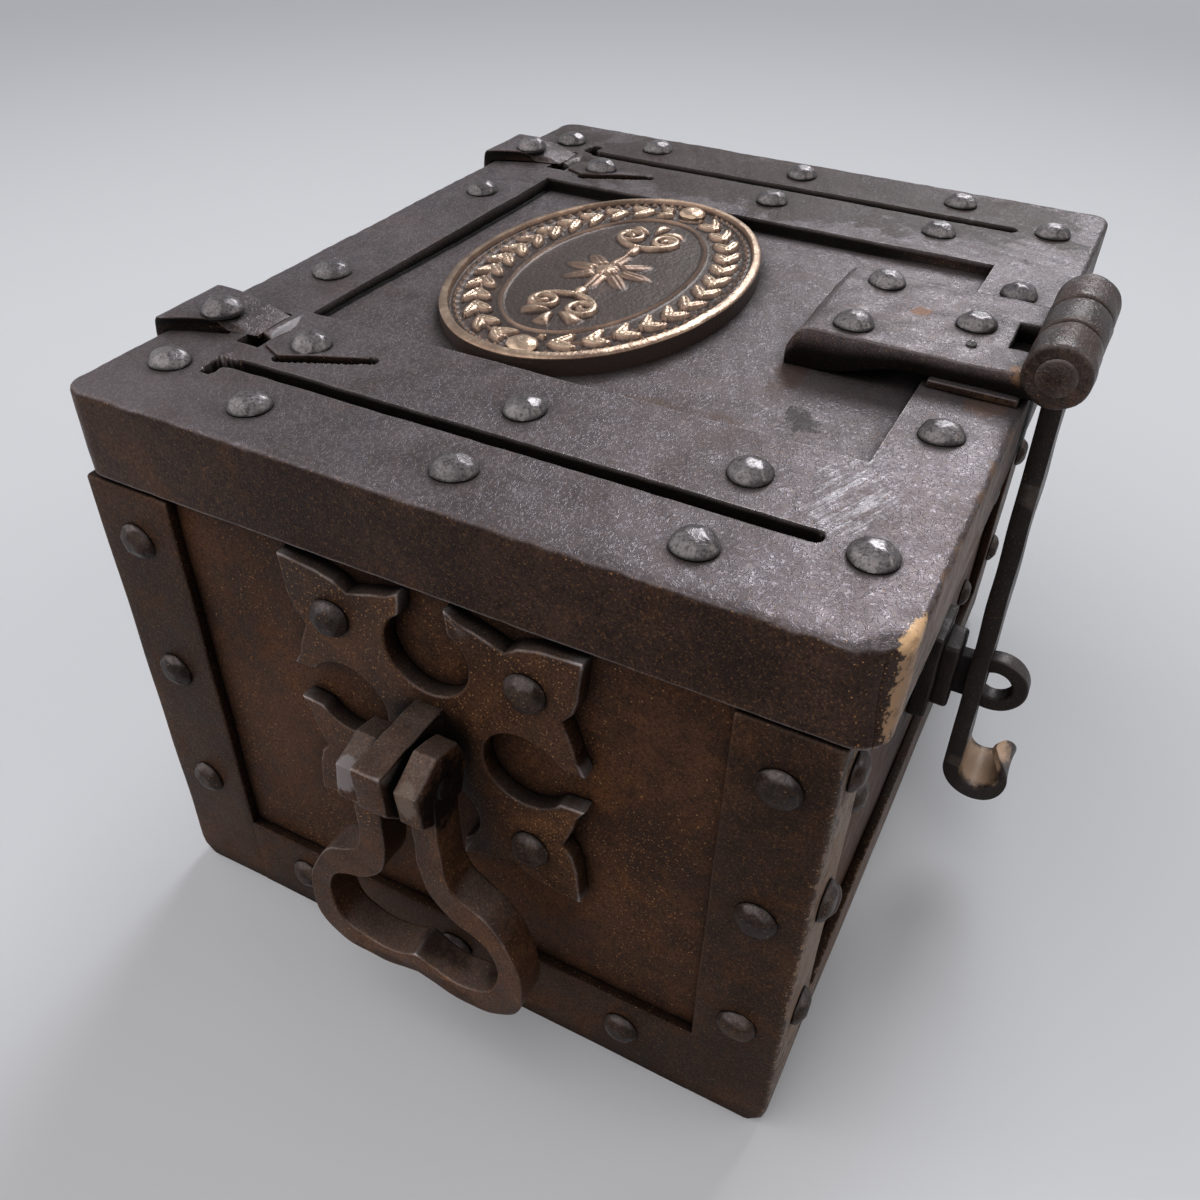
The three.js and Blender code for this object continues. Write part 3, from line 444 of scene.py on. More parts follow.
def smooth_curve(points: Sequence[Pair], count: int) -> Array:
    """An even run of points on a Catmull-Rom curve through the given points."""
    knots = np.array(points, float)
    padded = np.vstack([2 * knots[0] - knots[1], knots, 2 * knots[-1] - knots[-2]])
    share = np.linspace(0, 1, 24, endpoint=False)[None, :, None]
    before, here, ahead, beyond = padded[:-3, None], padded[1:-2, None], padded[2:-1, None], padded[3:, None]
    squared = 2 * before - 5 * here + 4 * ahead - beyond
    cubed = 3 * here - before - 3 * ahead + beyond
    curve = 0.5 * (2 * here + (ahead - before) * share + squared * share**2 + cubed * share**3)
    line = np.vstack([curve.reshape(-1, 2), knots[-1:]])
    return at_runs(line, np.linspace(0, run_of(line)[-1], count))


def rivet_head(place: Point, facing: Point, radius: float, height: float, seed: int) -> Shell:
    """A hammered rivet head: a dome over a small undercut, cut by the flats of blows.

    Args:
        place: middle of its seat.
        facing: the way it faces, along one axis.
        radius: widest radius, just above the seat.
        height: of its top.
        seed: number that fixes the blows.

    Returns:
        A closed shell, whose rings and sectors are radius times (share, angle) and whose rise is
        that of an ellipse. What stands beyond a blow's plane is moved on to the plane.
    """
    rng = np.random.default_rng(seed)
    skirt, skirt_rise = [0.9, 0.9, 0.95, 0.995], np.array([-0.3, 0.02, 0.1, 0.25])
    dome = [1.0, 0.985, 0.95, 0.89, 0.81, 0.71, 0.6, 0.48, 0.36, 0.24, 0.12, 0.04]
    angles = np.linspace(0, TURN, 44, endpoint=False)
    share, angle = np.meshgrid(skirt + dome, angles, indexing="ij")
    wobble = 1 + 0.025 * np.sin(2 * angle + rng.uniform(0, 6)) + 0.02 * np.sin(3 * angle + rng.uniform(0, 6))
    across, up = radius * share * wobble * np.cos(angle), radius * share * wobble * np.sin(angle)
    foot = 0.35
    rise = foot + (height - foot) * np.sqrt(np.maximum(1 - share**2, 0))
    rise[: len(skirt)] = skirt_rise[:, None]
    local = np.stack([across, up, rise], axis=-1).reshape(-1, 3)
    struck = local[len(skirt) * len(angles) :]
    side = rng.uniform(0, TURN)
    # one blow on top, then two rings of them: lean, blows to a turn and blows struck
    for tilt, apart, blows in ((0.0, 8, 1), (0.5, 5, 5), (0.95, 8, 8)):
        for _ in range(blows):
            lean = tilt + rng.uniform(-0.12, 0.12)
            side += TURN / apart + rng.uniform(-0.25, 0.25)
            way = np.array([math.sin(lean) * math.cos(side), math.sin(lean) * math.sin(side), math.cos(lean)])
            reach = struck @ way
            limit = reach.max() - rng.uniform(0.05, 0.11) * height
            struck -= np.maximum(reach - limit, 0)[:, None] * way
    axis = int(np.argmax(np.abs(facing)))
    points = np.empty_like(local)
    points[:, axis] = place[axis] + local[:, 2] * facing[axis]
    for column, other in enumerate(((axis + 1) % 3, (axis + 2) % 3)):
        points[:, other] = place[other] + local[:, column]
    return loft(points.reshape(*share.shape, 3))


# Making Blender pieces


@dataclass(frozen=True)
class Coat:
    """A material and the record's slot that it fills."""

    material: Material
    slot: Slot


def add_object(name: str, data: bpy.types.ID) -> bpy.types.Object:
    """A new object of some data, in the scene."""
    made = bpy.data.objects.new(name, data)
    bpy.context.scene.collection.objects.link(made)
    return made


@dataclass
class Assembly:
    """Part of the box, which turns shells into Blender objects that ride on the frame."""

    bounds: tuple[Array, Array]
    coats: "Coats"

    def piece(
        self,
        name: str,
        shell: Shell,
        body: Body,
        coat: Coat,
        nodes: Sequence[str] | None = None,
        sharp: float = 38.0,
        bevel: float = 0.0,
        values: dict[str, Array] | None = None,
    ) -> None:
        """One finished piece.

        Args:
            name: the piece's name.
            shell: its surface in millimetres.
            body: what it moves with.
            coat: its material; the coat's slot is not used here.
            nodes: CAD nodes that it stands for; the one of its own name where none are listed.
            sharp: angle in degrees over which an edge is shaded sharp.
            bevel: width in millimetres of a bevel on its square edges.
            values: attributes with one value for each point.
        """
        nodes = [name] if nodes is None else nodes
        label = f"{name}_dressed" if name in nodes else name
        mesh = bpy.data.meshes.new(label)
        faces = shell.quads.tolist() + [cap.tolist() for cap in shell.caps]
        mesh.from_pydata((np.clip(shell.points, *self.bounds) * MM).tolist(), [], faces)
        for key, numbers in (values or {}).items():
            self.attach(mesh, key, numbers)
        self.clean(mesh)
        self.mark_up(mesh)
        mesh.polygons.foreach_set("use_smooth", np.ones(len(mesh.polygons), bool))
        mesh.set_sharp_from_angle(angle=math.radians(180 if bevel else sharp))
        piece = add_object(label, mesh)
        if bevel:
            modifier = piece.modifiers.new("worn edges", "BEVEL")
            modifier.width, modifier.segments = bevel * MM, 3
            modifier.limit_method, modifier.angle_limit = "ANGLE", math.radians(50)
        mesh.materials.append(coat.material)
        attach(piece, body.value)
        if nodes:
            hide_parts(*nodes)
        LOG.info("%s: %d faces, moves with %s", name, len(mesh.polygons), body.value)

    @staticmethod
    def attach(mesh: bpy.types.Mesh, key: str, numbers: Array) -> None:
        """Adds an attribute with one value for each point."""
        mesh.attributes.new(key, "FLOAT", "POINT").data.foreach_set("value", numbers.astype(np.float32))

    def mark_up(self, mesh: bpy.types.Mesh) -> None:
        """Adds the attribute "up": how far each point's normal faces up, where the finishes lay polish and
        painted sheen.
        """
        normals = np.empty(len(mesh.vertices) * 3, np.float32)
        mesh.vertex_normals.foreach_get("vector", normals)
        self.attach(mesh, "up", ease(normals.reshape(-1, 3)[:, 2], 0.4, 0.85))

    @staticmethod
    def clean(mesh: bpy.types.Mesh) -> None:
        """Merges doubled points, drops collapsed faces and loose points, and turns faces outwards."""
        work = bmesh.new()
        work.from_mesh(mesh)
        bmesh.ops.remove_doubles(work, verts=work.verts, dist=0.002 * MM)
        bmesh.ops.dissolve_degenerate(work, edges=work.edges, dist=0.0005 * MM)
        loose = [vert for vert in work.verts if not vert.link_faces]
        bmesh.ops.delete(work, geom=loose, context="VERTS")
        bmesh.ops.recalc_face_normals(work, faces=work.faces)
        work.to_mesh(mesh)
        work.free()


# Finishes


class Nodes:
    """Short calls for laying out a node tree; a source is a value, or a socket to link."""

    def __init__(self, tree: Tree) -> None:
        """Keeps the tree that nodes go into."""
        self.tree = tree

    def add(self, kind: str, inputs: Inputs | None = None, **settings: object) -> Node:
        """A new shader node with its settings and the sources of its inputs."""
        node = self.tree.nodes.new(f"ShaderNode{kind}")
        for key, value in settings.items():
            setattr(node, key, value)
        self.fill(node, inputs or {})
        return node

    def fill(self, node: Node, inputs: Inputs) -> None:
        """Gives each input its source."""
        for key, source in inputs.items():
            if isinstance(source, Socket):
                self.tree.links.new(source, node.inputs[key])
            else:
                node.inputs[key].default_value = source

    def place(self) -> Socket:
        """A point's own place on its object."""
        return self.add("TexCoord").outputs["Object"]

    def attribute(self, name: str) -> Socket:
        """The value of a piece's own attribute."""
        return self.add("Attribute", attribute_name=name).outputs["Fac"]

    def noise(self, vector: Socket, scale: object, detail: float, rough: float, twist: float = 0.0) -> Socket:
        """The Fac of a noise texture."""
        inputs = {"Vector": vector, "Scale": scale, "Detail": detail, "Roughness": rough, "Distortion": twist}
        return self.add("TexNoise", inputs).outputs["Fac"]

    def math(self, operation: str, *values: object) -> Socket:
        """A Math node's result."""
        return self.add("Math", dict(enumerate(values)), operation=operation).outputs[0]

    def times(self, first: object, second: object) -> Socket:
        """The product of two values."""
        return self.math("MULTIPLY", first, second)

    def plus(self, first: object, second: object) -> Socket:
        """The sum of two values."""
        return self.math("ADD", first, second)

    def less(self, first: object, second: object) -> Socket:
        """The first value less the second."""
        return self.math("SUBTRACT", first, second)

    def vector(self, operation: str, first: Socket, second: Point = (0.0, 0.0, 0.0)) -> Socket:
        """A Vector Math node's result from a place and a vector in millimetres."""
        inputs = {0: first, 1: [value * MM for value in second]}
        node = self.add("VectorMath", inputs, operation=operation)
        return node.outputs["Value" if operation == "LENGTH" else "Vector"]

    def ramp(self, value: object, low: object, high: object, start: float = 0.0, end: float = 1.0) -> Socket:
        """A value mapped smoothly from one range to another and held there."""
        inputs = {"Value": value, "From Min": low, "From Max": high, "To Min": start, "To Max": end}
        return self.add("MapRange", inputs, interpolation_type="SMOOTHSTEP").outputs["Result"]

    def mix(self, share: object, first: object, second: object) -> Socket:
        """Two colours mixed."""
        node = self.add("Mix", {"Factor": share}, data_type="RGBA")
        colors = [key for key, socket in enumerate(node.inputs) if socket.type == "RGBA"]
        self.fill(node, dict(zip(colors, (first, second))))
        return next(socket for socket in node.outputs if socket.type == "RGBA")

    def bump(self, height: Socket, distance: float) -> Socket:
        """The normal of a surface raised by a height times a distance in millimetres."""
        inputs = {"Strength": 1.0, "Distance": distance * MM, "Height": height}
        return self.add("Bump", inputs).outputs["Normal"]


FLOAT, COLOR = "NodeSocketFloat", "NodeSocketColor"


def new_group(
    name: str, inputs: dict[str, float | tuple], outputs: Sequence[str]
) -> tuple[Nodes, dict[str, Socket], Node]:
    """An empty node group with named sockets.

    Args:
        name: of the group.
        inputs: default of each input, four numbers for a colour.
        outputs: name of each output; the one called Color is a colour.

    Returns:
        A layout helper, the group's inputs as sockets to link from, and its output node.
    """
    tree = bpy.data.node_groups.new(name, "ShaderNodeTree")
    for key, default in inputs.items():
        kind = COLOR if isinstance(default, tuple) else FLOAT
        tree.interface.new_socket(key, in_out="INPUT", socket_type=kind).default_value = default
    for key in outputs:
        tree.interface.new_socket(key, in_out="OUTPUT", socket_type=COLOR if key == "Color" else FLOAT)
    given = tree.nodes.new("NodeGroupInput").outputs
    return Nodes(tree), dict(given.items()), tree.nodes.new("NodeGroupOutput")


def new_material(name: str) -> tuple[Material, Nodes, Node]:
    """A new material, its layout helper and its Principled shader."""
    made = bpy.data.materials.new(name)
    made.use_nodes = True
    return made, Nodes(made.node_tree), made.node_tree.nodes["Principled BSDF"]


def linear(color: Paint) -> tuple[float, float, float, float]:
    """A screen colour of 0 to 255 as linear light."""
    parts = [part / 255 for part in color]
    light = [part / 12.92 if part <= 0.04045 else ((part + 0.055) / 1.055) ** 2.4 for part in parts]
    return (*light, 1.0)


# dark colours: pits, dirt with painted shade in creases, painted shade where the surface is closed in, and
# dirt with painted shade in the lid's cuts
PIT, GRIME_AND_SHADE, SHADE, CUT_DIRT_AND_SHADE = (0.004, 0.003, 0.0025, 1), (12, 8, 7), (8, 5, 4), (8, 5, 5)


def cast_skin_group() -> Tree:
    """Skin of a casting: mottled iron, wrinkled and sandy, with rust blooms and tan specks.

    Two noises mix dark and light iron, a third lays rust on in blooms and in the sand between
    them, and dots in random cells are specks. The height sums worm-like ridges, which stand
    where a twisted noise is near its middle, with sand, swell and specks.
    """
    # every material gives all of the inputs
    inputs = dict.fromkeys(("Dark", "Light", "Rust", "Speck"), PIT)
    inputs |= dict.fromkeys(("Rust Amount", "Speck Amount", "Wrinkle", "Wrinkle Scale", "Gloss"), 0.5)
    nodes, given, result = new_group("cast skin", inputs, ("Color", "Roughness", "Height", "Ridge"))
    place = nodes.place()
    broad = nodes.noise(place, 24, 5, 0.6)
    small = nodes.noise(place, 170, 6, 0.65, 0.4)
    grain = nodes.noise(place, 1700, 3, 0.65)
    blend = nodes.plus(nodes.times(broad, 0.6), nodes.times(small, 0.4))
    color = nodes.mix(nodes.ramp(blend, 0.38, 0.62), given["Dark"], given["Light"])
    bloom = nodes.noise(place, 42, 8, 0.72, 0.8)
    blot = nodes.times(nodes.ramp(bloom, 0.5, 0.72), given["Rust Amount"])
    color = nodes.mix(blot, color, given["Rust"])
    sand = nodes.times(nodes.ramp(grain, 0.55, 0.72), nodes.ramp(bloom, 0.36, 0.66, 0.1, 0.75))
    color = nodes.mix(nodes.times(sand, given["Rust Amount"]), color, given["Rust"])
    dots = 0.0
    for scale, width, rarity in ((1700.0, 0.3, 0.88), (950.0, 0.2, 0.95)):
        cells = nodes.add("TexVoronoi", {"Vector": place, "Scale": scale}, feature="F1").outputs
        chance = nodes.add("SeparateColor", {0: cells["Color"]}).outputs[0]
        dot = nodes.ramp(cells["Distance"], width * 0.6, width, 1, 0)
        dots = nodes.plus(dots, nodes.times(dot, nodes.math("GREATER_THAN", chance, rarity)))
    speck = nodes.math("MINIMUM", nodes.times(dots, given["Speck Amount"]), 1.0)
    color = nodes.mix(speck, color, given["Speck"])
    dust = nodes.ramp(nodes.noise(place, 2300, 2, 0.7), 0.56, 0.7, 0, 0.3)
    color = nodes.mix(nodes.times(dust, given["Speck Amount"]), color, given["Speck"])
    color = nodes.mix(nodes.ramp(grain, 0.56, 0.32, 0, 0.6), color, PIT)
    twisted = nodes.noise(place, given["Wrinkle Scale"], 2, 0.5, 0.7)
    worm = nodes.ramp(nodes.math("ABSOLUTE", nodes.less(twisted, 0.5)), 0, 0.07, 1, 0)
    raised = nodes.plus(nodes.times(worm, 0.4), nodes.times(twisted, 0.6))
    height = nodes.plus(nodes.times(raised, given["Wrinkle"]), nodes.times(grain, 0.12))
    height = nodes.plus(height, nodes.plus(nodes.times(small, 0.7), nodes.times(speck, 0.3)))
    rough = nodes.plus(given["Gloss"], nodes.ramp(small, 0.3, 0.7, -0.07, 0.1))
    rough = nodes.plus(rough, nodes.times(blot, 0.3))
    nodes.fill(result, {"Color": color, "Roughness": rough, "Height": height, "Ridge": worm})
    return nodes.tree


def edge_wear_and_shade_group() -> Tree:
    """Rubbed edges, from how convex the surface is; dirt with painted shade in creases, and wider painted
    shade, from how closed in it is.
    """
    inputs = {"Start": 0.515, "Full": 0.58, "Breakup": 0.5, "Reach": 0.005}
    nodes, given, result = new_group("edge wear and shade", inputs, ("Mask", "Grime And Shade", "Shade"))
    bend = nodes.add("NewGeometry").outputs["Pointiness"]
    broken = nodes.ramp(nodes.noise(nodes.place(), 240, 4, 0.6), 0.35, 0.65)
    kept = nodes.plus(nodes.times(broken, given["Breakup"]), nodes.less(1, given["Breakup"]))
    # ambient occlusion: close in, it and concave points give dirt with painted shade in creases; wide, it
    # gives painted shade where the surface is closed in
    near = nodes.add("AmbientOcclusion", {"Distance": given["Reach"]}, samples=4)
    wide = nodes.add("AmbientOcclusion", {"Distance": nodes.times(given["Reach"], 4)}, samples=4)
    hollow = nodes.ramp(bend, 0.38, 0.49, 1, 0)
    closed = nodes.ramp(near.outputs["AO"], 0.35, 0.92, 1, 0)
    nodes.fill(result, {
        "Mask": nodes.times(nodes.ramp(bend, given["Start"], given["Full"]), kept),
        "Grime And Shade": nodes.math("MAXIMUM", hollow, closed),
        "Shade": nodes.ramp(wide.outputs["AO"], 0.25, 0.85, 1, 0),
    })
    return nodes.tree


@dataclass(frozen=True)
class Spot:
    """A local patch of another colour: bare metal, a stain, a scuff, painted light or painted shade."""

    centre: Point
    reach: Point
    color: Paint
    strength: float = 0.7
    ragged: float = 0.5
    scale: float = 420.0

    def share(self, nodes: Nodes) -> Socket:
        """How much of the patch shows: distance from its centre over its reach, made ragged by noise.

        Args:
            nodes: the material's layout helper.

        Returns:
            Share of 0 to 1.
        """
        place = nodes.place()
        offset = nodes.vector("SUBTRACT", place, self.centre)
        far = nodes.vector("LENGTH", nodes.vector("DIVIDE", offset, self.reach))
        rough = nodes.times(nodes.less(nodes.noise(place, self.scale, 5, 0.7), 0.5), 4 * self.ragged)
        return nodes.ramp(nodes.plus(far, rough), 0.75, 1.05, self.strength, 0)


@dataclass(frozen=True)
class IronFinish:
    """Cast or forged iron, dressed by the shared skin group and the group of edge wear and painted shade."""

    name: str
    dark: Paint
    light: Paint
    rust: Paint
    edge: Paint
    rust_amount: float
    speck_amount: float
    wrinkle: float
    wrinkle_scale: float
    gloss: float
    metallic: float
    bump: float
    edge_amount: float = 0.6
    edge_metal: float = 0.5
    # strengths of the dirt with painted shade in creases and of the painted shade where the surface is closed
    # in
    grime_and_shade_amount: float = 0.9
    shade_amount: float = 0.6
    mirror: float = 0.25
    # polish and painted sheen: a lighter, more metallic colour on what faces up
    polish_and_sheen: Paint = (104, 99, 101)
    polish_and_sheen_amount: float = 0.0
    polish_metal: float = 0.7
    speck: Paint = (196, 146, 100)
    spots: tuple[Spot, ...] = ()

    def material(self, groups: dict[str, Tree]) -> Material:
        """The finish as a Blender material.

        Args:
            groups: the shared node groups by name.

        Returns:
            The material: the skin, then polish and painted sheen on what faces up, worn edges, spots, marks,
            dirt with painted shade in creases and painted shade where the surface is closed in, each mixed
            over the colour so far; polish and worn edges are the most metallic.
        """
        made, nodes, shader = new_material(self.name)
        colors = {"Dark": self.dark, "Light": self.light, "Rust": self.rust, "Speck": self.speck}
        inputs = {key: linear(color) for key, color in colors.items()}
        inputs |= {"Rust Amount": self.rust_amount, "Speck Amount": self.speck_amount}
        inputs |= {"Wrinkle": self.wrinkle, "Wrinkle Scale": self.wrinkle_scale, "Gloss": self.gloss}
        skin = nodes.add("Group", inputs, node_tree=groups["skin"]).outputs
        wear_and_shade = nodes.add("Group", node_tree=groups["wear_and_shade"]).outputs
        share = nodes.times(wear_and_shade["Mask"], self.edge_amount)
        patches = nodes.noise(nodes.place(), 48, 6, 0.65, 0.3)
        patchy = nodes.ramp(patches, 0.3, 0.62, 0.64 * self.polish_and_sheen_amount, self.polish_and_sheen_amount)
        ridged = nodes.math("MULTIPLY_ADD", skin["Ridge"], 0.5, 0.66)
        # polish and painted sheen on what faces up, in patches and along the wrinkles
        rubbed_and_sheen = nodes.times(nodes.times(nodes.attribute("up"), patchy), ridged)
        rubbed_and_sheen = nodes.math("MINIMUM", rubbed_and_sheen, 1.0)
        color = nodes.mix(rubbed_and_sheen, skin["Color"], linear(self.polish_and_sheen))
        color = nodes.mix(share, color, linear(self.edge))
        # spots: stains, scuffs and bare metal, and on some finishes painted light and painted shade
        spotted = 0.0
        for spot in self.spots:
            shown = spot.share(nodes)
            color = nodes.mix(shown, color, linear(spot.color))
            spotted = nodes.math("MAXIMUM", spotted, shown)
        color, height = self.marks(nodes, color, skin["Height"])
        # dirt with painted shade in creases
        grime_and_shade = nodes.times(wear_and_shade["Grime And Shade"], self.grime_and_shade_amount)
        color = nodes.mix(grime_and_shade, color, linear(GRIME_AND_SHADE))
        metal = nodes.math("MULTIPLY_ADD", rubbed_and_sheen, self.polish_metal - self.metallic, self.metallic)
        metal = nodes.math("MINIMUM", nodes.math("MULTIPLY_ADD", share, self.edge_metal, metal), 0.95)
        covered = nodes.math("MAXIMUM", nodes.math("MAXIMUM", grime_and_shade, self.dirt_and_shade_in_cuts(nodes)), spotted)
        rough = nodes.less(skin["Roughness"], nodes.times(share, 0.15))
        # the base colour gets painted shade where the surface is closed in
        nodes.fill(shader, {
            "Base Color": nodes.mix(nodes.times(wear_and_shade["Shade"], self.shade_amount), color, linear(SHADE)),
            "Roughness": nodes.plus(rough, nodes.times(grime_and_shade, 0.3)),
            "Metallic": nodes.times(metal, nodes.less(1, covered)),
            "Specular IOR Level": self.mirror,
            "Normal": nodes.bump(height, self.bump),
        })
        return made

    def marks(self, nodes: Nodes, color: Socket, height: Socket) -> tuple[Socket, Socket]:
        """A place to add marks that only one finish has; plain iron adds none."""
        return color, height

    def dirt_and_shade_in_cuts(self, nodes: Nodes) -> Socket | float:
        """Where dirt and painted shade darken the iron's cuts; plain iron has none."""
        return 0.0


@dataclass(frozen=True)
class LidFinish(IronFinish):
    """The lid's iron, with dirt and painted shade in its cuts and a scuffed patch by its front left corner.
    """

    scuff: Spot = Spot((-63.5, -63.0, 140.0), (13.0, 6.5, 6.0), (168, 164, 168), 1.0, 0.8, 110.0)
    scuff_turn: float = -0.4
    scuff_stretch: float = 9.0

    def marks(self, nodes: Nodes, color: Socket, height: Socket) -> tuple[Socket, Socket]:
        """Adds the strokes of the scuff, as noise drawn out along one way, and the cuts darkened by dirt and
        painted shade.

        Args:
            nodes: the material's layout helper.
            color: the colour so far.
            height: the bump height so far.

        Returns:
            The colour and height with the marks.
        """
        stretch = (self.scuff_stretch, 1.0, 1.0)
        inputs = {"Vector": nodes.place(), "Rotation": (0, 0, self.scuff_turn), "Scale": stretch}
        drawn_out = nodes.add("Mapping", inputs, vector_type="TEXTURE").outputs["Vector"]
        stroke = nodes.noise(drawn_out, 900, 4, 0.6, 0.2)
        share = self.scuff.share(nodes)
        shown = nodes.times(nodes.times(nodes.ramp(stroke, 0.45, 0.62), share), 0.5)
        color = nodes.mix(shown, color, linear(self.scuff.color))
        height = nodes.plus(height, nodes.times(nodes.times(stroke, share), 1.2))
        return nodes.mix(self.dirt_and_shade_in_cuts(nodes), color, linear(CUT_DIRT_AND_SHADE)), height

    def dirt_and_shade_in_cuts(self, nodes: Nodes) -> Socket | float:
        """Where dirt and painted shade darken the lid's cuts, from the piece's own attribute for them."""
        return nodes.ramp(nodes.attribute("dirt_and_shade"), 0.1, 0.9, 0, 0.96)


@dataclass(frozen=True)
class BronzeFinish:
    """Aged bronze: dark in the hollows and rubbed bright on what stands up."""

    name: str = "aged bronze"
    dark: Paint = (68, 55, 50)
    middle: Paint = (136, 111, 96)
    bright: Paint = (222, 194, 168)

    def material(self) -> Material:
        """The finish as a Blender material that reads the piece's own relief attribute."""
        made, nodes, shader = new_material(self.name)
        place = nodes.place()
        cloud = nodes.noise(place, 120, 6, 0.65, 0.5)
        fine = nodes.noise(place, 900, 3, 0.6)
        worn = nodes.plus(nodes.attribute("relief"), nodes.times(nodes.less(cloud, 0.5), 0.9))
        color = nodes.mix(nodes.ramp(worn, 0, 0.5), linear(self.dark), linear(self.middle))
        nodes.fill(shader, {
            "Base Color": nodes.mix(nodes.ramp(worn, 0.55, 1.1), color, linear(self.bright)),
            "Metallic": nodes.ramp(worn, 0, 0.8, 0.45, 0.85),
            "Roughness": nodes.plus(nodes.ramp(worn, 0.1, 0.9, 0.34, 0.26), nodes.times(fine, 0.12)),
            "Normal": nodes.bump(nodes.plus(fine, cloud), 0.16),
        })
        return made


@dataclass(frozen=True)
class Coats:
    """Every coat of the strongbox."""

    case: Coat
    strap: Coat
    lid: Coat
    fittings: Coat
    hasp: Coat
    handle: Coat
    handle_pin: Coat
    rivet: Coat
    case_rivet: Coat
    bronze: Coat


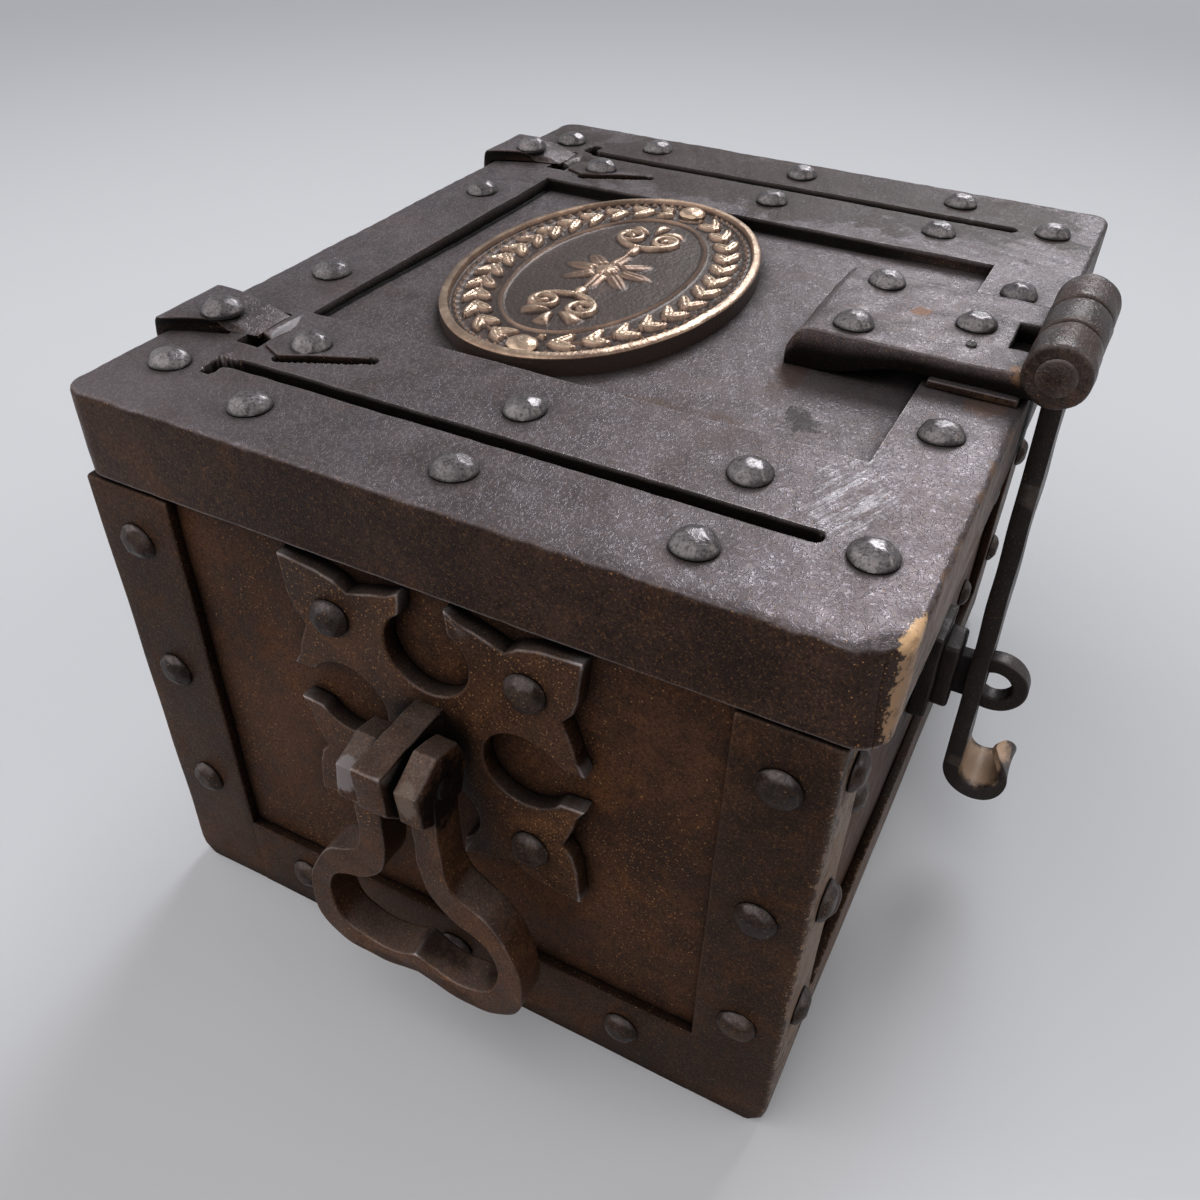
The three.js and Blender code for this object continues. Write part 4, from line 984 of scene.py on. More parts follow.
def make_coats() -> Coats:
    """Builds the shared node groups and all the materials once, each with its slot."""
    case = IronFinish(
        "case iron", (52, 35, 27), (86, 58, 43), (122, 76, 44), (120, 96, 80),
        rust_amount=0.35, speck_amount=0.6, wrinkle=0.4, wrinkle_scale=900.0,
        gloss=0.46, metallic=0.04, bump=0.11, mirror=0.07,
    )
    strap = IronFinish(
        "strap iron", (43, 30, 24), (70, 49, 38), (108, 70, 44), (132, 112, 102),
        rust_amount=0.3, speck_amount=0.6, wrinkle=0.45, wrinkle_scale=900.0,
        gloss=0.4, metallic=0.03, bump=0.1, mirror=0.07,
        spots=(
            # painted light on the front faces of the front left corner strap and of the front bottom strap
            Spot((-89.5, -78.6, 60), (16, 1.6, 66), (164, 138, 118), 0.6, 0.9, 700),
            Spot((-40, -78.6, 10), (60, 1.6, 16), (140, 114, 96), 0.5, 0.9, 700),
        ),
    )
    lid = LidFinish(
        "lid iron", (45, 32, 28), (71, 53, 46), (112, 76, 52), (158, 150, 150),
        rust_amount=0.3, speck_amount=0.8, wrinkle=1.0, wrinkle_scale=820.0,
        gloss=0.36, metallic=0.04, bump=0.085, mirror=0.08,
        polish_and_sheen=(120, 113, 117), polish_and_sheen_amount=0.9, polish_metal=0.75,
        spots=(
            Spot((-95, -82.9, 139.2), (7, 2.4, 2.4), (238, 196, 152), 0.95, 0.35, 700),
            Spot((-96.5, -83.6, 130), (6, 2.4, 13), (190, 154, 122), 0.8, 0.6, 700),
            # painted light on the front face of the skirt
            Spot((-60, -84, 131), (45, 2, 16), (128, 100, 80), 0.55, 0.9, 260),
            # painted highlight on the step beside the left hinge's hole
            Spot((-59, 62.5, 139.3), (6, 1.2, 1.4), (196, 192, 196), 0.6, 0.3, 500),
            Spot((1.9, -56.7, 146), (2.6, 2.2, 1.5), (142, 96, 62), 0.6, 0.5, 500),
            Spot((-15.5, -80.6, 146), (2, 2.6, 3), (170, 128, 96), 0.6, 0.5, 500),
            Spot((-20.5, -76.3, 140), (4.5, 4.5, 1.5), (112, 84, 66), 0.5, 0.6, 400),
            Spot((-21.5, -37.2, 137), (9, 4, 1.5), (80, 58, 45), 0.5, 0.8, 200),
            Spot((-49, -22, 137), (5, 20, 1.5), (96, 74, 60), 0.45, 0.9, 120),
            Spot((-38.5, -45.5, 137), (5, 4, 1.5), (30, 25, 25), 0.6, 0.9, 200),
            # painted shade over the right strip and the back of the top
            Spot((81, 4, 140), (27, 88, 9), (62, 50, 46), 0.62, 0.7, 70),
        ),
    )
    fittings = IronFinish(
        "forged iron", (40, 31, 28), (68, 56, 52), (120, 84, 60), (170, 160, 156),
        rust_amount=0.5, speck_amount=0.3, wrinkle=0.7, wrinkle_scale=600.0,
        gloss=0.36, metallic=0.2, bump=0.24, edge_amount=0.25,
        polish_and_sheen=(112, 104, 104), polish_and_sheen_amount=0.85, polish_metal=0.8,
        spots=(
            Spot((-9, -89.5, 151.5), (8, 6, 4), (70, 50, 40), 0.6, 0.8, 260),
            Spot((12, -85, 152.5), (7, 7, 4), (74, 54, 44), 0.6, 0.9, 260),
        ),
    )
    hasp = IronFinish(
        "hasp iron", (20, 14, 12), (38, 28, 25), (96, 68, 50), (110, 98, 92),
        rust_amount=0.15, speck_amount=0.15, wrinkle=0.5, wrinkle_scale=600.0,
        gloss=0.4, metallic=0.15, bump=0.09, polish_and_sheen=(120, 112, 112), polish_and_sheen_amount=0.6,
        # painted light inside the curl
        spots=(Spot((1, -96.6, 32), (9.5, 6.6, 7.6), (218, 184, 156), 0.9, 0.15, 300),),
    )
    handle = IronFinish(
        "handle iron", (56, 38, 29), (88, 60, 45), (138, 94, 60), (190, 182, 182),
        rust_amount=0.4, speck_amount=0.8, wrinkle=0.5, wrinkle_scale=900.0,
        gloss=0.36, metallic=0.04, bump=0.14, mirror=0.1,
        edge_amount=0.72, edge_metal=0.7, shade_amount=0.95, polish_and_sheen=(134, 122, 118), polish_and_sheen_amount=0.45,
        spots=(
            # painted shade on the front-facing side of the tall knuckle
            Spot((-114, -10.4, 86), (10.5, 1.7, 10), (6, 4, 4), 0.95, 0.3, 300),
            # painted shade inside the bail's lower bar
            Spot((-112, -9, 33.5), (6, 14, 6), (16, 11, 9), 0.75, 0.15, 200),
            # painted highlight on the squat knuckle's upper facets
            Spot((-121.6, 7.3, 89.3), (4.2, 3.4, 5), (150, 145, 148), 0.6, 0.3, 300),
            # painted highlight on the tall knuckle's upper facets
            Spot((-121.8, -6.8, 89.5), (3.4, 2.4, 6), (132, 118, 108), 0.55, 0.4, 300),
            # painted shade along the bail's lower front
            Spot((-119, 0, 23.5), (6, 17, 4), (16, 11, 10), 0.6, 0.5, 200),
        ),
    )
    rivet = IronFinish(
        "rivet iron", (112, 106, 108), (142, 136, 138), (140, 108, 86), (190, 186, 188),
        rust_amount=0.02, speck_amount=0.1, wrinkle=0.6, wrinkle_scale=500.0,
        gloss=0.33, metallic=0.7, bump=0.07, mirror=0.4, edge_amount=0.2,
    )
    case_rivet = IronFinish(
        "case rivet iron", (38, 29, 26), (66, 53, 47), (126, 90, 62), (150, 138, 134),
        rust_amount=0.25, speck_amount=0.4, wrinkle=0.6, wrinkle_scale=700.0,
        gloss=0.38, metallic=0.2, bump=0.09, mirror=0.15, edge_amount=0.3,
        polish_and_sheen=(126, 118, 118), polish_and_sheen_amount=0.7,
    )
    groups = {"skin": cast_skin_group(), "wear_and_shade": edge_wear_and_shade_group()}
    handle_iron = handle.material(groups)
    return Coats(
        case=Coat(case.material(groups), Slot.CASE),
        strap=Coat(strap.material(groups), Slot.CASE),
        lid=Coat(lid.material(groups), Slot.LID),
        fittings=Coat(fittings.material(groups), Slot.FITTINGS),
        hasp=Coat(hasp.material(groups), Slot.FITTINGS),
        handle=Coat(handle_iron, Slot.CASE),
        handle_pin=Coat(handle_iron, Slot.FITTINGS),
        rivet=Coat(rivet.material(groups), Slot.RIVET),
        case_rivet=Coat(case_rivet.material(groups), Slot.RIVET),
        bronze=Coat(BronzeFinish().material(), Slot.BRONZE),
    )


# The case


@dataclass
class Case(Assembly):
    """Wall plates, straps and their rivet heads, with the staple on the front."""

    end_face: float = 101.5
    end_panel: float = 99.0
    front_face: float = -78.0
    front_panel: float = -75.5
    back_face: float = 83.5
    back_panel: float = 81.0
    wall: float = 5.0
    floor: float = 5.0
    wall_top: float = 120.7
    strap_top: float = 119.8
    front_leg: float = 19.0
    back_leg: float = 22.0
    face_leg: float = 20.0
    bottom_strap: float = 23.0
    foot: float = 5.5
    rivet_rows: tuple[float, ...] = (35.0, 71.0, 107.0)
    head_radius: float = 4.25
    head_height: float = 2.6
    lap: float = 0.8
    sink: float = 0.02
    foot_head_z: float = 13.0
    foot_head_ys: tuple[float, ...] = (-42.75, 1.25, 45.25)
    wall_head_x: float = 63.5
    staple_x: float = 1.0
    staple_z: float = 57.7
    eye_y: float = -93.6

    def foot_rounding(self, points: Array) -> Array:
        """Draws the lower front and back edges in on a quarter circle.

        Args:
            points: places in millimetres.

        Returns:
            The places with y moved by r - sqrt(r^2 - (r - z)^2), fading out 14 mm inwards.
        """
        fade = 14.0
        rise = np.clip(self.foot - points[:, 2], 0, self.foot)
        step = self.foot - np.sqrt(self.foot**2 - rise**2)
        front = np.clip((self.front_face + fade - points[:, 1]) / fade, 0, 1)
        back = np.clip((points[:, 1] - self.back_face + fade) / fade, 0, 1)
        points[:, 1] += step * (front - back)
        return points

    def plate(self, name: str, spans: Sequence[Pair], seed: int) -> None:
        """A floor or wall plate on its node, from its spans on X, Y and Z, with its own unevenness."""
        shell = slab(*spans, radius=0.4, step=3.0).moved(self.foot_rounding).forged(0.1, 34.0, seed)
        self.piece(name, shell, Body.CASE, self.coats.case)

    def strap(self, name: str, shell: Shell) -> None:
        """A raised strap; all share one set of waves, so that their faces stay level where they lap."""
        shell = shell.moved(self.foot_rounding).forged(0.08, 40.0, 10)
        self.piece(name, shell, Body.CASE, self.coats.strap)

    def walls(self) -> None:
        """Floor and four wall plates."""
        x, front, back = self.end_panel, self.front_panel, self.back_panel
        up = (self.floor, self.wall_top)
        self.plate("floor_plate", [(-x, x), (front, back), (0, self.floor)], 11)
        self.plate("front_wall", [(-x, x), (front, front + self.wall), up], 12)
        self.plate("back_wall", [(-x, x), (back - self.wall, back), up], 13)
        for end in End:
            spans = [end.span(x - self.wall, x), (front + self.wall, back - self.wall), up]
            self.plate(f"{end.word}_wall", spans, 14 + end)

    def heads(self, name: str, places: Sequence[Point], facing: Point, seed: int) -> None:
        """A run of hammered rivet heads as one piece."""
        size = (self.head_radius, self.head_height)
        shells = [rivet_head(place, facing, *size, seed * 100 + i) for i, place in enumerate(places)]
        self.piece(name, join(shells), Body.CASE, self.coats.case_rivet, nodes=())

    def corner_strap(self, end: End, back: bool) -> None:
        """An angle strap on one upright edge, with its two columns of heads.

        Args:
            end: which X end.
            back: at the back instead of the front.
        """
        sign, inward = end, -1 if back else 1
        face, panel = (self.back_face, self.back_panel) if back else (self.front_face, self.front_panel)
        leg = face + inward * (self.back_leg if back else self.front_leg)
        inner = self.end_face - self.face_leg
        outer, wall = self.end_face, self.end_panel
        corners = [(outer, face, 1.4), (outer, leg, 0.6), (wall, leg, 0.3)]
        corners += [(wall, panel, 0.3), (inner, panel, 0.3), (inner, face, 0.6)]
        loop = fillet([(sign * x, y, radius) for x, y, radius in corners], 2.5)
        name = f"{'back' if back else 'front'}_{end.word}_corner"
        self.strap(f"{name}_strap", prism(loop, 0, self.strap_top, Axis.Z, 0.7, 2.5))
        seed = 20 + 2 * back + (end is End.RIGHT)
        middle, column = (face + leg) / 2, self.end_face - self.face_leg / 2
        on_end = [(sign * self.end_face, middle, z) for z in self.rivet_rows]
        on_face = [(sign * column, face, z) for z in self.rivet_rows]
        self.heads(f"{name}_end_heads", on_end, (sign, 0, 0), seed + 10)
        self.heads(f"{name}_face_heads", on_face, (0, -inward, 0), seed + 20)

    def bottom_straps(self) -> None:
        """The straps round the foot, a hair under the corner straps that they run into."""
        along = (self.front_face + self.front_leg - self.lap, self.back_face - self.back_leg + self.lap)
        half = self.end_face - self.face_leg + self.lap
        up = (0, self.bottom_strap)
        for end in End:
            across = end.span(self.end_panel, self.end_face - self.sink)
            self.strap(f"{end.word}_bottom_strap", slab(across, along, up, 0.45, 3.0))
            places = [(end * self.end_face, y, self.foot_head_z) for y in self.foot_head_ys]
            self.heads(f"{end.word}_bottom_heads", places, (end, 0, 0), 52 + end)
        front = (self.front_face + self.sink, self.front_panel)
        back = (self.back_panel, self.back_face - self.sink)
        self.strap("front_bottom_strap", slab((-half, half), front, up, 0.45, 3.0))
        self.strap("back_bottom_strap", slab((-half, half), back, up, 0.45, 3.0))

    def staple(self) -> None:
        """The stepped base on the front wall and the padlock eye that comes through the hasp."""
        x, z, panel = self.staple_x, self.staple_z, self.front_panel
        base = slab((x - 8, x + 8), (panel - 4.5, panel), (z - 13, z + 13), 0.7, 2.0)
        boss = slab((x - 5.5, x + 5.5), (panel - 8.8, panel - 4.0), (z - 9.5, z + 9.5), 1.1, 2.0)
        shell = join([base, boss]).forged(0.15, 14.0, 61)
        self.piece("staple_base", shell, Body.CASE, self.coats.hasp)
        turn = np.linspace(0, TURN, 72, endpoint=False)[:, None]
        section = fillet([(4.0, -2.35, 0.7), (7.9, -2.35, 0.6), (7.9, 2.35, 0.6), (4.0, 2.35, 0.7)], 0.8)
        radius, across = section.T[:, None]
        eye = [x + across + 0 * turn, self.eye_y + radius * np.cos(turn), z + radius * np.sin(turn)]
        shank = slab((x - 2.3, x + 2.3), (-87.9, -83.6), (z - 6, z + 6), 0.7, 1.5)
        shell = join([loft(np.stack(eye, axis=-1), looped=True), shank]).forged(0.08, 12.0, 62)
        self.piece("hasp_staple", shell, Body.CASE, self.coats.hasp)

    def build(self) -> None:
        """Everything of the case but its handles and hinges."""
        self.walls()
        for end in End:
            self.corner_strap(end, False)
            self.corner_strap(end, True)
        self.bottom_straps()
        columns = (-self.wall_head_x, self.wall_head_x)
        places = [(x, self.front_panel, z) for x in columns for z in self.rivet_rows]
        self.heads("front_wall_heads", places, (0, -1, 0), 70)
        self.staple()


# The end handles


@dataclass
class Handle(Assembly):
    """Fishtail plate, post, pin and stirrup bail of one end."""

    end: End
    panel: float = 99.0
    face: float = 103.0
    height: float = 86.6
    pivot_x: float = 113.5
    pivot_z: float = 87.1
    half: float = 33.0
    cut_radius: float = 9.3
    cut_offset: float = 20.5
    cut_mouth: float = 55.0
    rivet_offset: float = 21.5
    post_half: float = 3.25
    post_tip: float = 123.5
    bail_depth: float = 8.0
    bail_half_width: float = 27.0
    bail_drop: float = 64.7
    knuckle_inner: float = 4.3
    knuckle_outer: float = 9.5

    def plate_loop(self) -> Array:
        """Outline of the plate: one quarter of lobe and cut circle, turned four times.

        Returns:
            Closed outline (y, z).
        """
        lobe = [
            (1.01, 0.145), (0.955, 0.24), (0.935, 0.33), (0.9, 0.43), (0.868, 0.515),
            (0.93, 0.6), (0.965, 0.72), (0.978, 0.86), (0.99, 0.99),
        ]
        edge = np.array(lobe) * self.half
        mirrored = edge[:-1, ::-1][::-1]
        mouth = math.radians(self.cut_mouth)
        turn = mouth - (math.pi + 2 * mouth) * np.linspace(0, 1, 26)
        cut = np.stack([np.cos(turn), np.sin(turn)], axis=1) * self.cut_radius + [0, self.cut_offset]
        quarter = np.vstack([edge, mirrored, cut])
        loops = []
        for angle in np.arange(4) * math.pi / 2:
            cos, sin = math.cos(angle), math.sin(angle)
            loops.append(quarter @ np.array([[cos, sin], [-sin, cos]]))
        return densify(np.vstack(loops) + [0, self.height], 2.0)

    def plate(self) -> None:
        """The plate on the end wall."""
        low, high = self.end.span(self.panel, self.face)
        shell = prism(self.plate_loop(), low, high, Axis.X, 0.55, 1.5).forged(0.08, 18.0, 81)
        self.piece(f"{self.end.word}_handle_plate", shell, Body.CASE, self.coats.handle, sharp=45)

    def rivets(self) -> None:
        """Four hammered rivets, each on its own node."""
        sign, offset = self.end, self.rivet_offset
        corners = [(across, self.height + up) for across in (-offset, offset) for up in (-offset, offset)]
        for number, corner in enumerate(corners, start=1):
            head = rivet_head((sign * self.face, *corner), (sign, 0, 0), 4.25, 3.3, 830 + number + sign * 4)
            name = f"{self.end.word}_handle_rivet_{number}"
            self.piece(name, head, Body.CASE, self.coats.case_rivet)

    def post(self) -> None:
        """The flat-topped post, square at its nose above and rounded off below."""
        top, bottom, nose = self.pivot_z + 7.8, self.pivot_z - 7.5, 4.5
        tip, root = self.post_tip, self.face - 0.5
        corners = [(root, top, 0.2), (tip, top, 0.7), (tip - 0.6, bottom + nose, 2.0)]
        corners += [(tip - nose, bottom, 2.0), (root, bottom, 0.2)]
        loop = fillet([(self.end * x, z, radius) for x, z, radius in corners], 1.2)
        low, high = 0.4 - self.post_half, 0.4 + self.post_half
        shell = prism(loop, low, high, Axis.Y, 0.5, 1.2).forged(0.1, 9.0, 85)
        self.piece(f"{self.end.word}_handle_post", shell, Body.CASE, self.coats.handle)
        pin = rod((self.end * self.pivot_x, 0, self.pivot_z), Axis.Y, 2.5, -10.1, 10.1, 0.6)
        self.piece(f"{self.end.word}_handle_pin", pin, Body.CASE, self.coats.handle_pin)

    def bail_rails(self) -> tuple[Array, Array]:
        """Outer and inner edges of the bail from one neck round to the other.

        Returns:
            Two runs of (y, z) with matching points; each is a smooth curve through listed shares of the
            half width and the drop, mirrored about the middle.
        """
        outer = [
            (0.355, 0), (0.36, 0.14), (0.365, 0.26), (0.39, 0.345), (0.45, 0.41), (0.57, 0.447),
            (0.72, 0.48), (0.865, 0.565), (0.96, 0.66), (1, 0.76), (0.985, 0.86), (0.9, 0.94),
            (0.72, 0.99), (0.5, 1), (0.26, 0.995), (0, 0.965),
        ]
        inner = [
            (0.135, 0), (0.137, 0.14), (0.14, 0.26), (0.15, 0.35), (0.19, 0.44), (0.27, 0.5),
            (0.42, 0.55), (0.58, 0.575), (0.7, 0.605), (0.775, 0.675), (0.785, 0.76), (0.72, 0.845),
            (0.58, 0.893), (0.4, 0.912), (0.2, 0.9), (0, 0.855),
        ]
        rails = []
        for table in (outer, inner):
            y, z = smooth_curve(table, 90).T * [[self.bail_half_width], [-self.bail_drop]]
            side = np.stack([y, z + self.pivot_z], axis=1)
            rails.append(np.vstack([side, (side * [-1, 1])[-2::-1]]))
        return rails[0], rails[1]

    def bail(self) -> None:
        """The stirrup and its two hammered, many-sided knuckles."""
        outer, inner = self.bail_rails()
        width = np.linalg.norm(outer - inner, axis=1)
        way = (outer - inner) / width[:, None]
        depth = self.bail_depth / 2
        unit = fillet([(0, -depth, 0.75), (6, -depth, 0.75), (6, depth, 0.55), (0, depth, 0.55)], 1.0)
        share, out = unit.T
        along = np.where(share < 3, share, width[:, None] - (6 - share))
        across = inner[:, None] + way[:, None] * along[..., None]
        x = self.end * (self.pivot_x + out + 0 * along)
        ring = loft(np.concatenate([x[..., None], across], axis=-1))
        tall = [(1.4, 8.7), (8.4, 4.4), (7.7, -4.6), (2.6, -8.6), (-5.4, -7.0), (-8.4, 0.5), (-5.6, 6.9)]
        squat = [(0.6, 6.5), (7.4, 3.9), (8.2, -4.0), (2.6, -8.6), (-5.4, -7.0), (-8.4, 0.5), (-5.0, 5.2)]
        knuckles = []
        for side, corners in ((-1, tall), (1, squat)):
            places = [(self.end * (self.pivot_x + out), self.pivot_z + up, 0.6) for out, up in corners]
            low, high = sorted((side * self.knuckle_inner, side * self.knuckle_outer))
            knuckles.append(prism(fillet(places, 1.2), low, high, Axis.Y, 0.7, 1.2))
        shell = join([ring, *knuckles]).forged(0.12, 12.0, 87)
        body = Body.LEFT_HANDLE if self.end is End.LEFT else Body.RIGHT_HANDLE
        self.piece(f"{self.end.word}_bail", shell, body, self.coats.handle, sharp=42)

    def build(self) -> None:
        """All the pieces of one handle."""
        self.plate()
        self.rivets()
        self.post()
        self.bail()


# The lid


@dataclass
class Lid(Assembly):
    """The lid casting with its frame, panel and grooves, and the rivet heads on it."""

    end: float = 101.5
    side: float = 83.0
    bottom: float = 121.0
    top: float = 140.0
    roof: float = 133.0
    corner: float = 5.0
    edge: float = 1.1
    window_half: float = 51.3
    window_front: float = -62.5
    window_back: float = 61.5
    frame_depth: float = 3.0
    hinge_x: float = 64.5
    hollow_half: float = 96.5
    hollow_front: float = -73.0
    hollow_back: float = 78.5
    groove: float = 77.5
    groove_end: float = 59.5

    def window(self, x: Array, y: Array) -> Array:
        """Signed distance from the edge of the frame's window, negative inside."""
        xs, ys = (-self.window_half, self.window_half), (self.window_front, self.window_back)
        return rect_distance(x, y, xs, ys)

    def depth(self, x: Array, y: Array) -> tuple[Array, Array]:
        """How far the lid's top lies below the frame's face.

        Args:
            x: places on X.
            y: places on Y.

        Returns:
            Depth in millimetres: the window, two grooves with hooks, the hinge holes, the slits
            beside the hinge tails and the small steps by the holes, each a smooth step of the
            distance from its outline. The second array is the depth of the narrow cuts alone.
        """
        # the panel lies higher towards the back left corner
        shallow = 1 - 0.42 * ease(-x, -20.0, 45.0) * ease(y, -10.0, 50.0)
        down = self.frame_depth * shallow * ease(-self.window(x, y), -0.2, 0.25)
        cuts = np.zeros_like(down)
        start, bend = (self.groove, self.window_front + 1.4), (self.groove, self.groove_end)
        hook, tip = (self.groove + 1.6, self.groove_end + 3.5), (self.groove + 4.8, self.groove_end + 2.9)
        # each stroke of a groove with how much thinner it is
        strokes = ((start, bend, 0.0), (bend, hook, 0.3), (hook, tip, 0.45))
        for sign in (-1, 1):
            lines = [segment_distance(sign * x, y, first, last) + thin for first, last, thin in strokes]
            cuts = np.maximum(cuts, 4.4 * ease(-np.min(lines, axis=0), -1.95, -1.35))
            # what lies beside a hinge is the same way round at both
            v = x - sign * self.hinge_x
            hole = rect_distance(v, y, (-5.2, 0.2), (61.0, 66.6))
            cuts = np.maximum(cuts, 4.6 * ease(-hole, -0.2, 0.4))
            slit = segment_distance(v, y, (-7.3, 53.8), (1.1, 36.9))
            cuts = np.maximum(cuts, 3.0 * ease(-slit, -1.35, -0.85))
            step = ease(63.7 - y, 0.0, 1.7) * ease(y, 50.0, 60.0)
            step = step * ease(v, -2.0, 0.5) * (1 - ease(v, 4.0, 9.5))
            down = np.maximum(down, 1.2 * step)
        torn = np.exp(-(((x + 76.1) / 1.7) ** 2) - ((y - 63.9) / 1.3) ** 2)
        crumbs = 0.6 + 0.4 * np.sin(5.1 * x) * np.sin(4.3 * y + 1)
        return np.maximum(down, cuts) - torn * crumbs, cuts

    def lines(self) -> list[Array]:
        """Grid lines of the casting, close together where its top is cut."""
        marks = [self.window_half, self.groove - 1.3, self.groove + 1.3]
        fine = np.array([-0.9, -0.45, -0.2, 0.0, 0.2, 0.45, 0.9])
        xs = [box_lines(-self.end, self.end, self.edge, 1.25)]
        xs += [sign * (mark + fine) for sign in (-1, 1) for mark in marks]
        xs += [sign * np.arange(53, 84, 0.55) for sign in (-1, 1)]
        ys = [box_lines(-self.side, self.side, self.edge, 1.25), self.window_front + fine]
        ys += [self.window_back + fine, np.arange(35, 68, 0.6)]
        zs = box_lines(self.bottom, self.top, self.edge, 2.2)
        return [self.thinned(np.concatenate(xs)), self.thinned(np.concatenate(ys)), zs]

    @staticmethod
    def thinned(values: Array) -> Array:
        """Sorted lines without those that almost meet their neighbour."""
        values = np.unique(np.round(values, 4))
        inner = values[1:-1]
        keep = np.diff(values)[:-1] > 0.16
        return np.concatenate([values[:1], inner[keep], values[-1:]])

    def round_plan(self, points: Array) -> Array:
        """Draws the square plan corners on to quarter circles of the corner radius."""
        over = np.maximum(np.abs(points[:, :2]) - [self.end - self.corner, self.side - self.corner], 0)
        largest, length = over.max(axis=1), np.maximum(np.linalg.norm(over, axis=1), 1e-9)
        both = (over > 0).all(axis=1)
        scale = np.where(both, largest / length, 1.0)[:, None]
        inner = np.abs(points[:, :2]) - over
        points[:, :2] = np.sign(points[:, :2]) * (inner + over * scale)
        return points

    def knocks(self, points: Array) -> Array:
        """The chipped front left corner, and shallow dents along the upper edges."""
        corner = np.array([-self.end, -self.side, self.top - 1.5])
        far = np.linalg.norm((points - corner) * [1, 1, 0.35], axis=1)
        pull = ease(8.5 - far, 0.0, 6.5)[:, None] * np.array([1.5, 1.7, -1.0])
        rim = ease(points[:, 2], self.top - 2.5, self.top - 0.5)
        near = ease(np.abs(points[:, :2]) - [self.end, self.side], -2.2, -0.4).max(axis=1)
        battered = 0.35 + 0.65 * ease(70 - np.linalg.norm(points - corner, axis=1), 0.0, 40.0)
        dents = (waves(points, 0.18, 14.0, 91) + waves(points, 0.2, 5.0, 94)) * battered[:, None]
        return points + pull - np.sign(points) * np.abs(dents) * (rim * near)[:, None]

    def casting(self) -> None:
        """The whole lid as one surface: face, skirt, rim and the hollow underneath."""
        lines = self.lines()
        xs, ys, _ = lines
        sides = [(xs[:-1], ys[0]), (xs[-1], ys[:-1]), (xs[:0:-1], ys[-1]), (xs[0], ys[:0:-1])]
        lap = np.vstack([np.column_stack(np.broadcast_arrays(x, y)) for x, y in sides])
        foot = np.column_stack([lap, np.full(len(lap), self.bottom)])
        points, quads, foot_index = box_grid(lines, skip_low_z=True, extra=foot)
        flat = points[:, 2] > self.top - 1e-6
        inside = flat & (np.abs(points[:, :2]) < [self.end - self.edge, self.side - self.edge]).all(axis=1)
        # the rounding's box reaches down past the foot, which stays square
        low = np.array([-self.end, -self.side, self.bottom - 9])
        high = np.array([self.end, self.side, self.top])
        shaped = self.round_plan(rounded(points, low, high, self.edge))
        down, cuts = np.zeros(len(shaped)), np.zeros(len(shaped))
        down[inside], cuts[inside] = self.depth(shaped[inside, 0], shaped[inside, 1])
        shaped[:, 2] -= down
        dirt_and_shade = self.dirt_and_shade(shaped, down, cuts)
        shaped = self.knocks(shaped)
        shaped += waves(shaped, 0.05, 30.0, 92) + waves(shaped, 0.035, 6.0, 93)
        rings = self.underside(lap, shaped[foot_index, :2])
        count, around = len(shaped), len(lap)
        order = [foot_index] + [count + i * around + np.arange(around) for i in range(len(rings))]
        strips = [np.stack([a, np.roll(a, -1), np.roll(b, -1), b], axis=1) for a, b in zip(order, order[1:])]
        shell = Shell(np.concatenate([shaped, *rings]), np.concatenate([quads, *strips]), [order[-1]])
        # dirt and painted shade along the window's edges and in the cuts
        values = {"dirt_and_shade": np.concatenate([dirt_and_shade, np.zeros(len(shell.points) - count)])}
        nodes = ["lid_cap", "lid_frame"]
        self.piece("lid_casting", shell, Body.LID, self.coats.lid, nodes, sharp=50, values=values)

    def dirt_and_shade(self, points: Array, down: Array, cuts: Array) -> Array:
        """Where dirt and painted shade lie: along the window's edges, least at the front, and in every narrow
        cut.
        """
        window = self.window(points[:, 0], points[:, 1])
        dirt_and_shade = ease(down, 0.35, 1.2) * ease(window, -2.2, -0.9) * (window < 0.5)
        dirt_and_shade *= 1 - 0.6 * ease(-30.0 - points[:, 1], 0.0, 20.0)
        return np.maximum(dirt_and_shade, ease(cuts, 0.3, 0.9))

    def underside(self, lap: Array, foot: Array) -> list[Array]:
        """Rings of points across the rim, up the walls and over the ceiling.

        Args:
            lap: the square outline (x, y) that the rings follow.
            foot: the foot's shaped outline, from which the rim starts.

        Returns:
            The rings, outermost first, close together at the edges so that wear keeps to them.
        """
        centre = np.array([0, (self.hollow_front + self.hollow_back) / 2])
        reach = np.array([self.hollow_half, (self.hollow_back - self.hollow_front) / 2])
        inner = lap / [self.end, self.side] * reach
        rim = [foot * (1 - share) + (inner + centre) * share for share in (0.2, 0.8, 1.0)]
        rings = [(ring, self.bottom) for ring in rim]
        rings += [(inner + centre, z) for z in (self.bottom + 3, self.roof - 1)]
        rings += [(inner * share + centre, self.roof) for share in (1.0, 0.97, 0.6, 0.1)]
        return [np.column_stack([ring, np.full(len(lap), z)]) for ring, z in rings]

    def heads(self) -> None:
        """The hammered heads on the frame."""
        spots = []
        for sign in (-1, 1):
            spots += [(sign * 89.7, y) for y in (-45.5, 0.0, 45.5)]
            spots += [(sign * 65.7, y) for y in (-45.5, 0.0)]
            spots += [(sign * 79.0, -71.5), (sign * 83.5, 71.5), (sign * 36.0, -71.5), (sign * 32.4, 71.5)]
        heads = [rivet_head((*spot, self.top), (0, 0, 1), 4.3, 2.95, 900 + i) for i, spot in enumerate(spots)]
        self.piece("lid_frame_heads", join(heads), Body.LID, self.coats.rivet, nodes=())

    def build(self) -> None:
        """The casting and its heads."""
        self.casting()
        self.heads()


